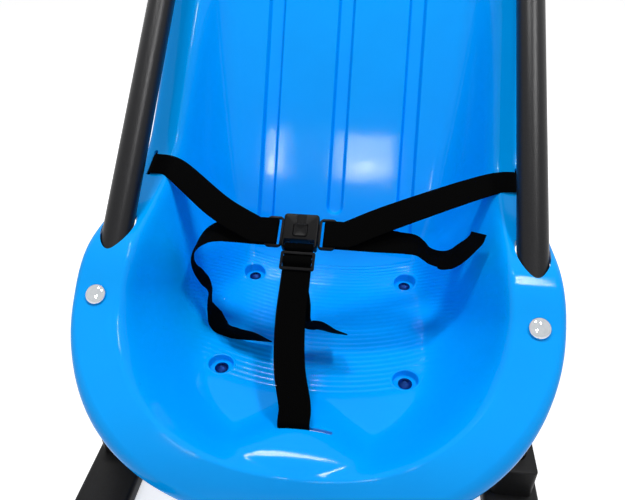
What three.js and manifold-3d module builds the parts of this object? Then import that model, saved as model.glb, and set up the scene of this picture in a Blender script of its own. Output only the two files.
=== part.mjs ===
// Baby sled: a moulded bucket seat on two tube arches and two skis, with a push bar and a harness.
// Millimetres, X across the sled, -Y to the front, +Z up.

import * as THREE from "three";
import { mergeVertices } from "three/addons/utils/BufferGeometryUtils.js";
import Module from "manifold-3d";

const wasm = await Module();
wasm.setup();

// Clearances
const seatGap = 0.3;
const holeClearance = 0.3;
const legClearance = 1.2;
const cutOverrun = 12;

// Seat: the frame it is moulded in leans back, with w up the seat and h out of it
const seatTilt = THREE.MathUtils.degToRad(35);
const seatLength = 600;
const seatDepth = 200;
const bowlHalfWidth = 197;
const backNarrowing = 13;
const bowlReach = 168;
const sideLength = 300;
const archRise = 130;
const openingHalfWidth = 151;
const openingReach = 122;
const openingArchRise = 96;
const shellWall = 3;
const edgeRadius = 7;
const skirtDrop = 8;
const lipWidth = 2.4;
const lipThickness = 2.6;

// Seat surface: the pan, the back, the front shelf with its crotch hump, and the side walls
const panDepth = 90;
const panFall = 11;
const panFallStart = -60;
const panFallEnd = 10;
const dishRise = 6;
const dishHalfWidth = 110;
const backDepth = 203;
const backRiseShare = 0.045;
const backCurl = 8;
const shelfRise = 7;
const shelfPlace = -97;
const shelfSlopeShare = 1.737;
const shelfFoot = -112;
const humpDepth = 24;
const humpHalfWidth = 46;
const humpSlopeShare = 3;
const frontDip = 8;
const frontDipHalfWidth = 62;
const frontDipStart = -60;
const frontDipEnd = -130;
const wallSlopeShare = 3.4;
const frontWallSlopeShare = 2.4;
const frontWallStart = -40;
const frontWallEnd = -105;
const backWallSlopeShare = 0.8;
const backWallStart = 60;
const backWallEnd = 150;
const panFillet = 40;
const shelfFillet = 14;
const wallFillet = 50;
const frontWallFilletCut = 28;
const rimFillet = 16;

// Rim line from the front lip to the top of the back, as shares of the seat's length and depth
const rimLineShares = [
  [-0.28, 0.18],
  [-0.245, 0.22],
  [-0.2117, 0.235],
  [-0.1783, 0.225],
  [-0.145, 0.19],
  [-0.0783, 0.08],
  [-0.0233, 0],
  [0.05, -0.085],
  [0.1133, -0.29],
  [0.1883, -0.505],
  [0.2467, -0.59],
  [0.4633, -0.73],
  [0.7333, -0.86],
];

// Grooves in the back
const grooveSpacing = 76;
const grooveWidth = 19;
const grooveDepth = 4.5;
const middleGrooveRise = 60;
const outerGrooveRise = 34;
const grooveEnd = 338;

// Screw pockets in the pan
const screwHalfSpacing = 80.5;
const frontScrewPlace = -67;
const rearScrewPlace = 10;
const pocketRadius = 10.75;
const pocketDepth = 6;
const pocketWall = 2.5;
const pocketDrop = 12;
const screwRadius = 3;
const screwHeadRadius = 6;
const screwHeadHeight = 3.6;
const nutRadius = 5.8;
const nutHeight = 5;
const threadOverrun = 2;

// Harness slots
const hipSlotHalfSpacing = 172;
const hipSlotPlace = 113;
const hipSlotLength = 30;
const slotWidth = 3.6;
const crotchSlotShift = -0.75;
const crotchSlotPlace = -97;
const crotchSlotLength = 38;

// Push bar
const barRadius = 12.5;
const barWall = 1.3;
const barHalfSpacing = 173;
const barBoltPlace = -14;
const barDepth = 17.9;
const barLean = THREE.MathUtils.degToRad(15.9);
const barTail = 34;
const barLength = 845;
const barBendRadius = 70;
const gripRadius = 16.5;
const gripLength = 196;
const gripRounding = 3;
const plugFlange = 2.5;
const plugLength = 14;
const boltHeadRadius = 8.3;
const boltHeadHeight = 4.2;
const boltRadius = 3;

// Arches
const archTubeRadius = 10;
const archTubeWall = 1.5;
const archInset = 12;
const archBendRadius = 48;

// Skis
const groundDrop = 219;
const skiWidth = 50;
const skiThickness = 17;
const skiFront = -262;
const skiRear = 392;
const skiTipRadius = 190;
const skiTipTurn = THREE.MathUtils.degToRad(44);
const skiTailChamfer = 8;
const skiRounding = 4;
const socketWidth = 36;
const socketLength = 46;
const socketHeight = 34;
const socketSink = 3;
const socketRounding = 1.5;
const footRest = 3;
const crossBoltRise = 19;
const crossBoltHeadRadius = 5;
const crossBoltHeadHeight = 3;
const glideWidth = 12;
const glideThickness = 2.4;
const glideProud = 0.9;
const glideInset = 24;
const glideScrewInset = 30;
const glideScrewRadius = 2;
const glideScrewHeadRadius = 4;
const glideScrewLength = 12;

// Harness
const strapWidth = 25;
const strapThickness = 1.1;
const strapPlay = 1;
const strapRise = 5;
const strapBend = 9;
const hipReachShare = 2.4;
const hipRiseShare = 0.6;
const crotchReachShares = [4.5, 3];
const keeperWidth = 9;
const keeperThickness = 4;
const keeperOverlap = 5;
const crotchKeeperDrop = 5.5;
const crotchKeeperMargin = 2;
const buckleShift = -18;
const buckleRise = 52;
const buckleDepth = 60;
const harnessSlope = THREE.MathUtils.degToRad(26);
const buckleWidth = 31;
const buckleHeight = 33;
const buckleThickness = 11;
const buckleCorner = 3;
const buckleRounding = 1.2;
const buckleBar = 3.6;
const buckleSlot = 4.2;
const bladeWidth = 18;
const bladeThickness = 3;
const bladeLength = 7;
const buttonSize = 12.4;
const buttonThickness = 4.7;
const buttonProud = 1;
const buttonTravel = 2.5;
const buttonRounding = 0.8;
const tongueLength = 15.2;
const tongueHeight = 30;
const tongueThickness = 3;
const tongueShoulder = 2;
const tongueWindow = 4.6;
const tongueArm = 2;
const triGlidePlace = -27;
const triGlideWidth = 30;
const triGlideBar = 2.5;
const triGlideWindow = 5;
const triGlideFrame = 2;
const triGlideThickness = 1.8;
const triGlideCorner = 2;

// Loose strap ends: places as shares of the seat's depth, then the direction across the strap
const leftTailShares = [
  [-0.405, 0.24, -0.33, 0, 1, 0],
  [-0.515, 0.21, -0.33, 0.2, 0.75, 0.63],
  [-0.575, 0.135, -0.36, 0.5, 0.25, 0.83],
  [-0.56, 0.04, -0.4, 0.2, 0.1, 0.97],
  [-0.51, -0.03, -0.42, 0.25, 0.15, 0.95],
  [-0.49, -0.115, -0.43, 0.3, 0.1, 0.95],
  [-0.41, -0.185, -0.4, 0.1, 0.35, 0.93],
  [-0.315, -0.22, -0.36, 0, 0.35, 0.93],
  [-0.215, -0.235, -0.35, 0, 0.2, 0.97],
];
const rightTailShares = [
  [0.235, 0.225, -0.33, 0, 1, 0],
  [0.35, 0.215, -0.34, 0, 0.95, 0.3],
  [0.42, 0.185, -0.385, 0.1, 0.85, 0.5],
  [0.49, 0.15, -0.425, 0, 0.72, 0.69],
  [0.5525, 0.149, -0.42, -0.1, 0.65, 0.75],
  [0.608, 0.18, -0.37, -0.35, 0.5, 0.78],
  [0.643, 0.244, -0.32, -0.45, -0.1, 0.88],
  [0.656, 0.322, -0.32, -0.45, -0.1, 0.88],
];
const crotchTailShares = [
  [-0.06, -0.1, -0.25, 0.4, 0.7, 0.6],
  [0.02, -0.125, -0.27, 0.1, 0.75, 0.65],
  [0.075, -0.14, -0.29, 0.1, 0.75, 0.65],
  [0.125, -0.155, -0.305, 0.1, 0.5, 0.85],
];

// Mesh fineness
const roundSides = 12;
const fastenerSides = 10;
const bendSteps = 3;
const frontStations = 12;
const sideStations = 11;
const archStations = 7;
const ringShares = [0, 0.3, 0.5, 0.61, 0.69, 0.75, 0.8, 0.86, 0.93, 1];
const strapSteps = 3;
const cornerSteps = 3;
const noseSteps = 4;

// Colours
const blue = new THREE.MeshStandardMaterial({ color: 0x0a84f0, roughness: 0.2, metalness: 0 });
const satinBlack = new THREE.MeshStandardMaterial({ color: 0x17181a, roughness: 0.5, metalness: 0.4 });
const foamBlack = new THREE.MeshStandardMaterial({ color: 0x101012, roughness: 0.9, metalness: 0 });
const plasticBlack = new THREE.MeshStandardMaterial({ color: 0x0c0c0e, roughness: 0.45, metalness: 0 });
const webbingBlack = new THREE.MeshStandardMaterial({ color: 0x09090b, roughness: 0.95, metalness: 0 });
const chrome = new THREE.MeshStandardMaterial({ color: 0xe6e8ea, roughness: 0.1, metalness: 1 });
const zinc = new THREE.MeshStandardMaterial({ color: 0xb4b8bc, roughness: 0.35, metalness: 1 });

// The sled, and the leaning frame that the seat is moulded in
const sled = new THREE.Group();
const seat = new THREE.Group();
seat.rotation.x = Math.PI / 2 - seatTilt;
seat.updateMatrix();
sled.add(seat);

// The push bar's frame: y along its legs from the bolts, z square to them
const bar = new THREE.Group();
bar.position.set(0, barBoltPlace, -barDepth);
bar.rotation.x = -barLean;
bar.updateMatrix();
seat.add(bar);

// The harness's frame: x across, y up the strap, z out of the seat
const harness = new THREE.Group();
harness.position.set(buckleShift, buckleRise, -buckleDepth);
harness.rotation.x = -harnessSlope;
harness.updateMatrix();
seat.add(harness);

// Solids

function welded(geometry) {
  const bare = geometry.clone();
  bare.deleteAttribute("normal");
  bare.deleteAttribute("uv");
  const merged = mergeVertices(bare);
  const corners = merged.index.array;
  const kept = [];
  for (let i = 0; i < corners.length; i += 3) {
    const [a, b, c] = corners.slice(i, i + 3);
    if (a !== b && b !== c && c !== a) kept.push(a, b, c);
  }
  merged.setIndex(kept);
  return merged;
}

function solidOf(geometry) {
  const closed = welded(geometry);
  const vertProperties = new Float32Array(closed.attributes.position.array);
  const triVerts = new Uint32Array(closed.index.array);
  return new wasm.Manifold(new wasm.Mesh({ numProp: 3, vertProperties, triVerts }));
}

function geometryOf(solid) {
  const mesh = solid.getMesh();
  const geometry = new THREE.BufferGeometry();
  geometry.setAttribute("position", new THREE.BufferAttribute(mesh.vertProperties, 3));
  geometry.setIndex(new THREE.BufferAttribute(mesh.triVerts, 1));
  return geometry;
}

function cut(geometry, ...cutters) {
  let solid = solidOf(geometry);
  for (const cutter of cutters) solid = solid.subtract(solidOf(cutter));
  return geometryOf(solid);
}

function joined(...geometries) {
  let solid = solidOf(geometries[0]);
  for (const geometry of geometries.slice(1)) solid = solid.add(solidOf(geometry));
  return geometryOf(solid);
}

function piece(name, geometry, material, parent = sled) {
  const shape = welded(geometry);
  shape.computeVertexNormals();
  const mesh = new THREE.Mesh(shape, material);
  mesh.name = name;
  parent.add(mesh);
}

// Plain shapes

function box(xFrom, xTo, yFrom, yTo, zFrom, zTo) {
  const geometry = new THREE.BoxGeometry(xTo - xFrom, yTo - yFrom, zTo - zFrom);
  return geometry.translate((xFrom + xTo) / 2, (yFrom + yTo) / 2, (zFrom + zTo) / 2);
}

// A round bar along z between two heights
function roundBar(radius, from, to, sides = roundSides) {
  const geometry = new THREE.CylinderGeometry(radius, radius, to - from, sides);
  return geometry.rotateX(Math.PI / 2).translate(0, 0, (from + to) / 2);
}

// The corner radius of a faceted bore whose flats clear a round bar
function boreRadius(radius, sides = roundSides) {
  return (radius + seatGap) / Math.cos(Math.PI / sides);
}

// A turned piece about z from [radius, height] pairs
function turned(profile, sides = roundSides) {
  const points = profile.map(([radius, height]) => new THREE.Vector2(radius, height));
  return new THREE.LatheGeometry(points, sides).rotateX(Math.PI / 2);
}

// The same outline as straight edges, with no point twice
function outlined(shape, divisions) {
  const points = shape.getPoints(divisions);
  const apart = (a, b) => a.distanceTo(b) > seatGap / 10;
  return new THREE.Shape(points.filter((point, i) => apart(point, points[(i + 1) % points.length])));
}

function roundedRectangle(width, height, corner) {
  const shape = new THREE.Shape();
  const [x, y] = [width / 2 - corner, height / 2 - corner];
  shape.absarc(x, y, corner, 0, Math.PI / 2);
  shape.absarc(-x, y, corner, Math.PI / 2, Math.PI);
  shape.absarc(-x, -y, corner, Math.PI, 1.5 * Math.PI);
  shape.absarc(x, -y, corner, 1.5 * Math.PI, 2 * Math.PI);
  return shape;
}

// A rounded block centred on z, with its top and bottom edges rounded
function softBlock(width, height, thickness, corner, rounding) {
  const shape = outlined(roundedRectangle(width - 2 * rounding, height - 2 * rounding, corner), cornerSteps);
  const depth = thickness - 2 * rounding;
  const options = { depth, bevelThickness: rounding, bevelSize: rounding, bevelSegments: 2 };
  return new THREE.ExtrudeGeometry(shape, options).translate(0, 0, -depth / 2);
}

// A path that steps exactly on the points it is given
class Rail extends THREE.Curve {
  constructor(points) {
    super();
    this.points = points;
    this.last = points.length - 1;
  }

  getPointAt(share, target = new THREE.Vector3()) {
    return target.copy(this.points[Math.round(share * this.last)]);
  }

  getTangentAt(share, target = new THREE.Vector3()) {
    const at = Math.round(share * this.last);
    const before = this.points[Math.max(at - 1, 0)];
    const after = this.points[Math.min(at + 1, this.last)];
    return target.copy(after).sub(before).normalize();
  }
}

// A hollow tube along points
function tube(points, radius, wall) {
  const ring = new THREE.Shape().absarc(0, 0, radius, 0, 2 * Math.PI);
  ring.holes.push(new THREE.Path().absarc(0, 0, radius - wall, 0, 2 * Math.PI));
  const options = { steps: points.length - 1, curveSegments: roundSides / 2, extrudePath: new Rail(points) };
  return new THREE.ExtrudeGeometry(ring, options);
}

// A bow in the XY plane: two legs along y, two bends and a crosspiece
function bowPoints(halfWidth, from, to, bendRadius) {
  const path = new THREE.Path();
  path.moveTo(-halfWidth, from);
  path.lineTo(-halfWidth, to - bendRadius);
  path.absarc(bendRadius - halfWidth, to - bendRadius, bendRadius, Math.PI, Math.PI / 2, true);
  path.lineTo(halfWidth - bendRadius, to);
  path.absarc(halfWidth - bendRadius, to - bendRadius, bendRadius, Math.PI / 2, 0, true);
  path.lineTo(halfWidth, from);
  return path.getPoints(bendSteps).map((point) => new THREE.Vector3(point.x, point.y, 0));
}

// A domed bolt about z with its head's seat at zero
function domedBolt(headRadius, headHeight, shankRadius, shankLength) {
  const profile = [
    [0, -shankLength],
    [shankRadius, -shankLength],
    [shankRadius, 0],
    [headRadius, 0],
    [headRadius * Math.cos(Math.PI / 6), headHeight / 2],
    [headRadius / 2, headHeight * Math.cos(Math.PI / 6)],
    [0, headHeight],
  ];
  return turned(profile, fastenerSides);
}

// A hexagon nut about z, hanging below zero
function nut(holeRadius) {
  const hole = roundBar(holeRadius, -nutHeight - cutOverrun, cutOverrun, fastenerSides);
  return cut(roundBar(nutRadius, -nutHeight, 0, 6), hole);
}

// Seat surface

const backHalfWidth = bowlHalfWidth - backNarrowing;

// Where the back's plane meets the pan's, up the seat
const backReach = backDepth * Math.sin(seatTilt) - panDepth - panFall;
const backFoot = backReach / (Math.cos(seatTilt) + backRiseShare * Math.sin(seatTilt));

// Rises smoothly from 0 to 1 between two places, whichever of them is larger
function ramp(from, to, at) {
  const share = THREE.MathUtils.clamp((at - from) / (to - from), 0, 1);
  return share * share * (3 - 2 * share);
}

// The lower of two heights, with their crossing rounded
function roundedLower(a, b, fillet) {
  const overlap = Math.max(fillet - Math.abs(a - b), 0) / fillet;
  return Math.min(a, b) - (overlap * overlap * fillet) / 4;
}

function roundedHigher(a, b, fillet) {
  return -roundedLower(-a, -b, fillet);
}

// Height of the rim line at w, a smooth curve through its points
const rimLine = rimLineShares.map(([wShare, hShare]) => [wShare * seatLength, hShare * seatDepth]);

function rimLineHeight(w) {
  const last = rimLine.length - 1;
  const at = THREE.MathUtils.clamp(w, rimLine[0][0], rimLine[last][0]);
  const index = Math.max(rimLine.findIndex((point) => point[0] >= at) - 1, 0);
  const slope = (k) => {
    const [before, after] = [rimLine[Math.max(k - 1, 0)], rimLine[Math.min(k + 1, last)]];
    return (after[1] - before[1]) / (after[0] - before[0]);
  };
  const [from, to] = [rimLine[index], rimLine[index + 1]];
  const span = to[0] - from[0];
  const t = (at - from[0]) / span;
  const start = (1 + 2 * t) * (1 - t) ** 2 * from[1] + t * (1 - t) ** 2 * span * slope(index);
  return start + t * t * (3 - 2 * t) * to[1] - t * t * (1 - t) * span * slope(index + 1);
}

// Height of the flat rim, which dips a little over the front lip
function rimHeight(x, w) {
  const dip = frontDip * Math.exp(-((x / frontDipHalfWidth) ** 2));
  return rimLineHeight(w) - dip * ramp(frontDipStart, frontDipEnd, w);
}

// How far out a place lies: 0 on the middle line, 1 where the side wall meets the rim
function openingShare(x, w) {
  const front = Math.min(w, 0) / openingReach;
  const top = Math.max(w - sideLength, 0) / openingArchRise;
  return Math.hypot(x / openingHalfWidth, front + top);
}

// Height of the back's plane, which curls up towards its sides
function backHeight(x, w) {
  return backRiseShare * w - backDepth + backCurl * (Math.abs(x) / dishHalfWidth) ** 3;
}

// Height of the seat's inner surface
function seatHeight(x, w) {
  const dish = dishRise * (Math.abs(x) / dishHalfWidth) ** 3 * ramp(-panFallStart, 0, w);
  const panLevel = dish - panDepth - panFall * ramp(panFallStart, panFallEnd, w);
  const pan = (panLevel - w * Math.cos(seatTilt)) / Math.sin(seatTilt);
  const foot = shelfFoot + humpDepth * Math.exp(-((x / humpHalfWidth) ** 2));
  const shelf = shelfRise - (w - shelfPlace) * shelfSlopeShare;
  const step = pan + humpSlopeShare * (foot - w);
  const hollow = roundedHigher(pan, backHeight(x, w), panFillet);
  const floor = roundedHigher(hollow, roundedLower(shelf, step, shelfFillet), shelfFillet);
  const steeper = frontWallSlopeShare * ramp(frontWallStart, frontWallEnd, w);
  const gentler = backWallSlopeShare * ramp(backWallStart, backWallEnd, w);
  const steepness = wallSlopeShare + steeper - gentler;
  const rim = rimHeight(x, w);
  const wall = rim + (openingShare(x, w) - 1) * openingHalfWidth * steepness;
  const fillet = wallFillet - frontWallFilletCut * ramp(panFallStart / 3, frontWallEnd, w);
  return roundedLower(roundedHigher(floor, wall, fillet), rim, rimFillet);
}

// Half of the seat's width at a place on its straight sides
function halfWidthAt(w) {
  return backHalfWidth + (bowlHalfWidth - backHalfWidth) * (1 - ramp(0, hipSlotPlace, w));
}

// The seat's outline, anticlockwise from the front, each point with its foot on the middle line
function seatOutline() {
  const half = [];
  for (let i = 0; i < frontStations; i++) {
    const angle = ((i / frontStations - 1) * Math.PI) / 2;
    half.push([bowlHalfWidth * Math.cos(angle), bowlReach * Math.sin(angle), 0]);
  }
  for (let i = 0; i <= sideStations; i++) {
    const w = (i / sideStations) * sideLength;
    half.push([halfWidthAt(w), w, w]);
  }
  for (let i = 1; i <= archStations; i++) {
    const angle = (i / archStations) * (Math.PI / 2);
    half.push([backHalfWidth * Math.cos(angle), sideLength + archRise * Math.sin(angle), sideLength]);
  }
  half[half.length - 1][0] = 0;
  half[0][0] = 0;
  const other = half.slice(1, -1).reverse();
  return [...half, ...other.map(([x, w, foot]) => [-x, w, foot])];
}

// Rings of points from the middle line to the lip of the turned-down edge
function seatRings() {
  const outline = seatOutline();
  const edgeSteps = [
    [Math.sin(Math.PI / 6), Math.cos(Math.PI / 6) - 1, 0],
    [Math.sin(Math.PI / 3), Math.cos(Math.PI / 3) - 1, 0],
    [1, -1, 0],
  ].map(([out, down]) => [out * edgeRadius, down * edgeRadius]);
  const skirtFoot = -edgeRadius - skirtDrop;
  edgeSteps.push([edgeRadius, skirtFoot]);
  edgeSteps.push([edgeRadius + lipWidth, skirtFoot]);
  edgeSteps.push([edgeRadius + lipWidth, skirtFoot - lipThickness]);
  const stations = outline.map(([x, w, foot], i) => {
    const before = outline[(i + outline.length - 1) % outline.length];
    const after = outline[(i + 1) % outline.length];
    const out = new THREE.Vector2(after[1] - before[1], before[0] - after[0]).normalize();
    const inset = edgeRadius + lipWidth;
    return { foot, out, x: x - out.x * inset, w: w - out.y * inset };
  });
  const flat = ringShares.map((share) =>
    stations.map(({ foot, x, w }) => {
      const place = [x * share, foot + (w - foot) * share];
      return new THREE.Vector3(...place, seatHeight(...place));
    }),
  );
  const turnedDown = edgeSteps.map(([outward, down]) =>
    stations.map(({ out, x, w }) => {
      const height = seatHeight(x, w) + down;
      return new THREE.Vector3(x + out.x * outward, w + out.y * outward, height);
    }),
  );
  return [...flat, ...turnedDown];
}

// A skin of rings, each joined to the next
function skinOf(rings) {
  const count = rings[0].length;
  const positions = rings.flat().flatMap((point) => point.toArray());
  const corners = [];
  for (let ring = 0; ring < rings.length - 1; ring++) {
    for (let i = 0; i < count; i++) {
      const next = (i + 1) % count;
      const [a, b] = [ring * count + i, (ring + 1) * count + i];
      const [c, d] = [(ring + 1) * count + next, ring * count + next];
      corners.push(a, b, c, a, c, d);
    }
  }
  const geometry = new THREE.BufferGeometry();
  geometry.setAttribute("position", new THREE.Float32BufferAttribute(positions, 3));
  geometry.setIndex(corners);
  return welded(geometry);
}

// A skin given a wall behind it and closed along its open edge
function thickened(skin, wall) {
  skin.computeVertexNormals();
  const place = skin.attributes.position;
  const normal = skin.attributes.normal;
  const count = place.count;
  const positions = Array.from(place.array);
  for (let i = 0; i < count; i++) {
    positions.push(
      place.getX(i) - normal.getX(i) * wall,
      place.getY(i) - normal.getY(i) * wall,
      place.getZ(i) - normal.getZ(i) * wall,
    );
  }
  const front = Array.from(skin.index.array);
  const corners = [...front];
  const edges = new Set();
  for (let i = 0; i < front.length; i += 3) {
    const [a, b, c] = front.slice(i, i + 3);
    corners.push(count + a, count + c, count + b);
    for (const edge of [[a, b], [b, c], [c, a]]) edges.add(edge.join());
  }
  for (const edge of edges) {
    const [a, b] = edge.split(",").map(Number);
    if (!edges.has(`${b},${a}`)) corners.push(b, a, count + a, b, count + a, count + b);
  }
  const geometry = new THREE.BufferGeometry();
  geometry.setAttribute("position", new THREE.Float32BufferAttribute(positions, 3));
  geometry.setIndex(corners);
  return geometry;
}

// A round-ended groove along the back, as the solid between two depths and widened by a wall
function groove(x, from, widening, top, bottom) {
  const radius = grooveWidth / 2 + widening;
  const place = (w) => new THREE.Vector3(x, w, backHeight(x, w));
  const [start, end] = [place(from), place(grooveEnd)];
  const length = start.distanceTo(end) - grooveWidth;
  const shape = new THREE.Shape();
  shape.absarc(0, 0, radius, Math.PI, 2 * Math.PI);
  shape.absarc(0, length, radius, 0, Math.PI);
  const options = { depth: top - bottom, bevelEnabled: false };
  const geometry = new THREE.ExtrudeGeometry(outlined(shape, cornerSteps), options);
  geometry.translate(0, grooveWidth / 2, bottom);
  geometry.rotateX(Math.atan(backRiseShare));
  return geometry.translate(...start.toArray());
}

// Screw places, in the sled's frame
function screwPlaces(place) {
  return [-1, 1].map((side) => {
    const x = side * screwHalfSpacing;
    return new THREE.Vector3(x, place, seatHeight(x, place)).applyMatrix4(seat.matrix);
  });
}

const frontScrews = screwPlaces(frontScrewPlace);
const rearScrews = screwPlaces(rearScrewPlace);
const toSeat = seat.matrix.clone().invert();

// The direction along a hip slot, and the rim's normal there
const rimStep = hipSlotLength / 2;
const slotRise = rimLineHeight(hipSlotPlace + rimStep) - rimLineHeight(hipSlotPlace - rimStep);
const hipSlotAngle = Math.atan2(slotRise, 2 * rimStep);

function hipSlotFrame(side) {
  const frame = new THREE.Matrix4().makeRotationX(hipSlotAngle);
  return frame.setPosition(side * hipSlotHalfSpacing, hipSlotPlace, rimLineHeight(hipSlotPlace));
}

const crotchSlotFrame = seat.matrix.clone().invert();
crotchSlotFrame.setPosition(crotchSlotShift, crotchSlotPlace, shelfRise);

// Seat shell

function seatShell() {
  let solid = solidOf(thickened(skinOf(seatRings()), shellWall));
  const add = (geometry) => (solid = solid.add(solidOf(geometry)));
  const subtract = (geometry) => (solid = solid.subtract(solidOf(geometry)));
  const grooves = [
    [0, backFoot + middleGrooveRise],
    [-grooveSpacing, backFoot + outerGrooveRise],
    [grooveSpacing, backFoot + outerGrooveRise],
  ];
  for (const [x, from] of grooves) add(groove(x, from, shellWall, -shellWall / 2, -grooveDepth - shellWall));
  for (const [x, from] of grooves) subtract(groove(x, from, 0, cutOverrun, -grooveDepth));
  for (const place of [...frontScrews, ...rearScrews]) {
    const standing = toSeat.clone().multiply(new THREE.Matrix4().setPosition(place));
    const boss = roundBar(pocketRadius + pocketWall, -pocketDrop, 0);
    const pocket = roundBar(pocketRadius, -pocketDepth, cutOverrun);
    const hole = roundBar(screwRadius + holeClearance, -pocketDrop - cutOverrun, 0, fastenerSides);
    add(boss.applyMatrix4(standing));
    subtract(pocket.applyMatrix4(standing));
    subtract(hole.applyMatrix4(standing));
  }
  for (const side of [-1, 1]) {
    const leg = roundBar(barRadius + legClearance, -barTail, 2 * hipSlotPlace).rotateX(-Math.PI / 2);
    subtract(leg.translate(side * barHalfSpacing, 0, 0).applyMatrix4(bar.matrix));
    const hole = roundBar(boltRadius + holeClearance, 0, barDepth + cutOverrun, fastenerSides);
    subtract(hole.translate(side * barHalfSpacing, 0, 0).applyMatrix4(bar.matrix));
    const [halfWidth, halfLength] = [slotWidth / 2, hipSlotLength / 2];
    const slot = box(-halfWidth, halfWidth, -halfLength, halfLength, -cutOverrun, cutOverrun);
    subtract(slot.applyMatrix4(hipSlotFrame(side)));
  }
  const [halfWidth, halfLength] = [slotWidth / 2, crotchSlotLength / 2];
  const slot = box(-halfLength, halfLength, -halfWidth, halfWidth, -cutOverrun, cutOverrun);
  subtract(slot.applyMatrix4(crotchSlotFrame));
  return geometryOf(solid);
}

piece("seat_shell", seatShell(), blue, seat);

// Push bar with its grip, end plugs and bolts

function pushBar() {
  const bow = tube(bowPoints(barHalfSpacing, -barTail, barLength, barBendRadius), barRadius, barWall);
  const reach = barRadius + cutOverrun;
  const holes = [-1, 1].map((side) => {
    const hole = roundBar(boltRadius + holeClearance, -reach, reach, fastenerSides);
    return hole.translate(side * barHalfSpacing, 0, 0);
  });
  return cut(bow, ...holes);
}

piece("push_bar", pushBar(), satinBlack, bar);

const gripBore = boreRadius(barRadius);
const gripHalf = gripLength / 2;
const grip = turned([
  [gripBore, -gripHalf],
  [gripRadius - gripRounding, -gripHalf],
  [gripRadius, gripRounding - gripHalf],
  [gripRadius, gripHalf - gripRounding],
  [gripRadius - gripRounding, gripHalf],
  [gripBore, gripHalf],
  [gripBore, -gripHalf],
]);
piece("bar_grip", grip.rotateY(Math.PI / 2).translate(0, barLength, 0), foamBlack, bar);

// The rim's highest point under a bolt's head, measured square to the bar's legs
function headSeat() {
  const toBar = bar.matrix.clone().invert();
  const heights = [];
  for (let i = 0; i < roundSides; i++) {
    const angle = (i / roundSides) * 2 * Math.PI;
    const x = barHalfSpacing + boltHeadRadius * Math.cos(angle);
    const w = barBoltPlace + barDepth * Math.sin(barLean) + boltHeadRadius * Math.sin(angle);
    heights.push(new THREE.Vector3(x, w, seatHeight(x, w)).applyMatrix4(toBar).z);
  }
  return Math.max(...heights) + seatGap;
}

const barHeadSeat = headSeat();
const barNutSeat = -barRadius - seatGap;
const barBoltLength = barHeadSeat - barNutSeat + nutHeight + threadOverrun;

for (const [name, side] of [["left", -1], ["right", 1]]) {
  const x = side * barHalfSpacing;
  const bolt = domedBolt(boltHeadRadius, boltHeadHeight, boltRadius, barBoltLength);
  piece(`rim_bolt_${name}`, bolt.translate(x, 0, barHeadSeat), chrome, bar);
  piece(`rim_nut_${name}`, nut(boltRadius + holeClearance).translate(x, 0, barNutSeat), zinc, bar);
  const plugRadius = barRadius - barWall - seatGap;
  const plug = turned([
    [0, -plugFlange - seatGap],
    [barRadius, -plugFlange - seatGap],
    [barRadius, -seatGap],
    [plugRadius, -seatGap],
    [plugRadius, plugLength],
    [0, plugLength],
  ]);
  piece(`bar_plug_${name}`, plug.rotateX(-Math.PI / 2).translate(x, -barTail, 0), plasticBlack, bar);
}

// Skis, each with two sockets for the arch feet and a steel glide strip

// The skis stand just inside the seat's sides
const archHalfSpan = bowlHalfWidth - archInset;
const skiBottom = glideProud - groundDrop;
const skiTop = skiBottom + skiThickness;
const socketTop = skiTop + socketHeight;

// The ski's side view: flat sole, upturned tip with a round nose, chamfered tail
function skiProfile() {
  const tipCentre = skiBottom + skiTipRadius;
  const noseRadius = skiThickness / 2;
  const middleRadius = skiTipRadius - noseRadius;
  const sole = -Math.PI / 2;
  const tip = sole - skiTipTurn;
  const nose = [skiFront + middleRadius * Math.cos(tip), tipCentre + middleRadius * Math.sin(tip)];
  const shape = new THREE.Shape();
  shape.moveTo(skiRear - skiTailChamfer, skiBottom);
  shape.lineTo(skiRear, skiBottom + skiTailChamfer);
  shape.lineTo(skiRear, skiTop);
  shape.lineTo(skiFront, skiTop);
  shape.absarc(skiFront, tipCentre, skiTipRadius - skiThickness, sole, tip, true);
  shape.absarc(nose[0], nose[1], noseRadius, tip + Math.PI, tip + 2 * Math.PI, false);
  shape.absarc(skiFront, tipCentre, skiTipRadius, tip, sole, false);
  return shape;
}

function insetSkiBody() {
  const depth = skiWidth - 2 * skiRounding;
  const options = {
    depth,
    bevelThickness: skiRounding,
    bevelSize: skiRounding,
    bevelOffset: -skiRounding,
    bevelSegments: 2,
  };
  const geometry = new THREE.ExtrudeGeometry(outlined(skiProfile(), noseSteps), options);
  // Turn the side view, drawn in x and y, so that it stands along the sled
  return geometry.rotateY(Math.PI / 2).rotateX(Math.PI / 2).translate(-depth / 2, 0, 0);
}

const archRows = [["front", frontScrews], ["rear", rearScrews]];
const crossBoltHeight = skiTop + crossBoltRise;

// The hole across a socket and the foot in it
function crossHole() {
  const hole = roundBar(boltRadius + holeClearance, -socketWidth, socketWidth, fastenerSides);
  return hole.rotateY(Math.PI / 2);
}

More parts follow.
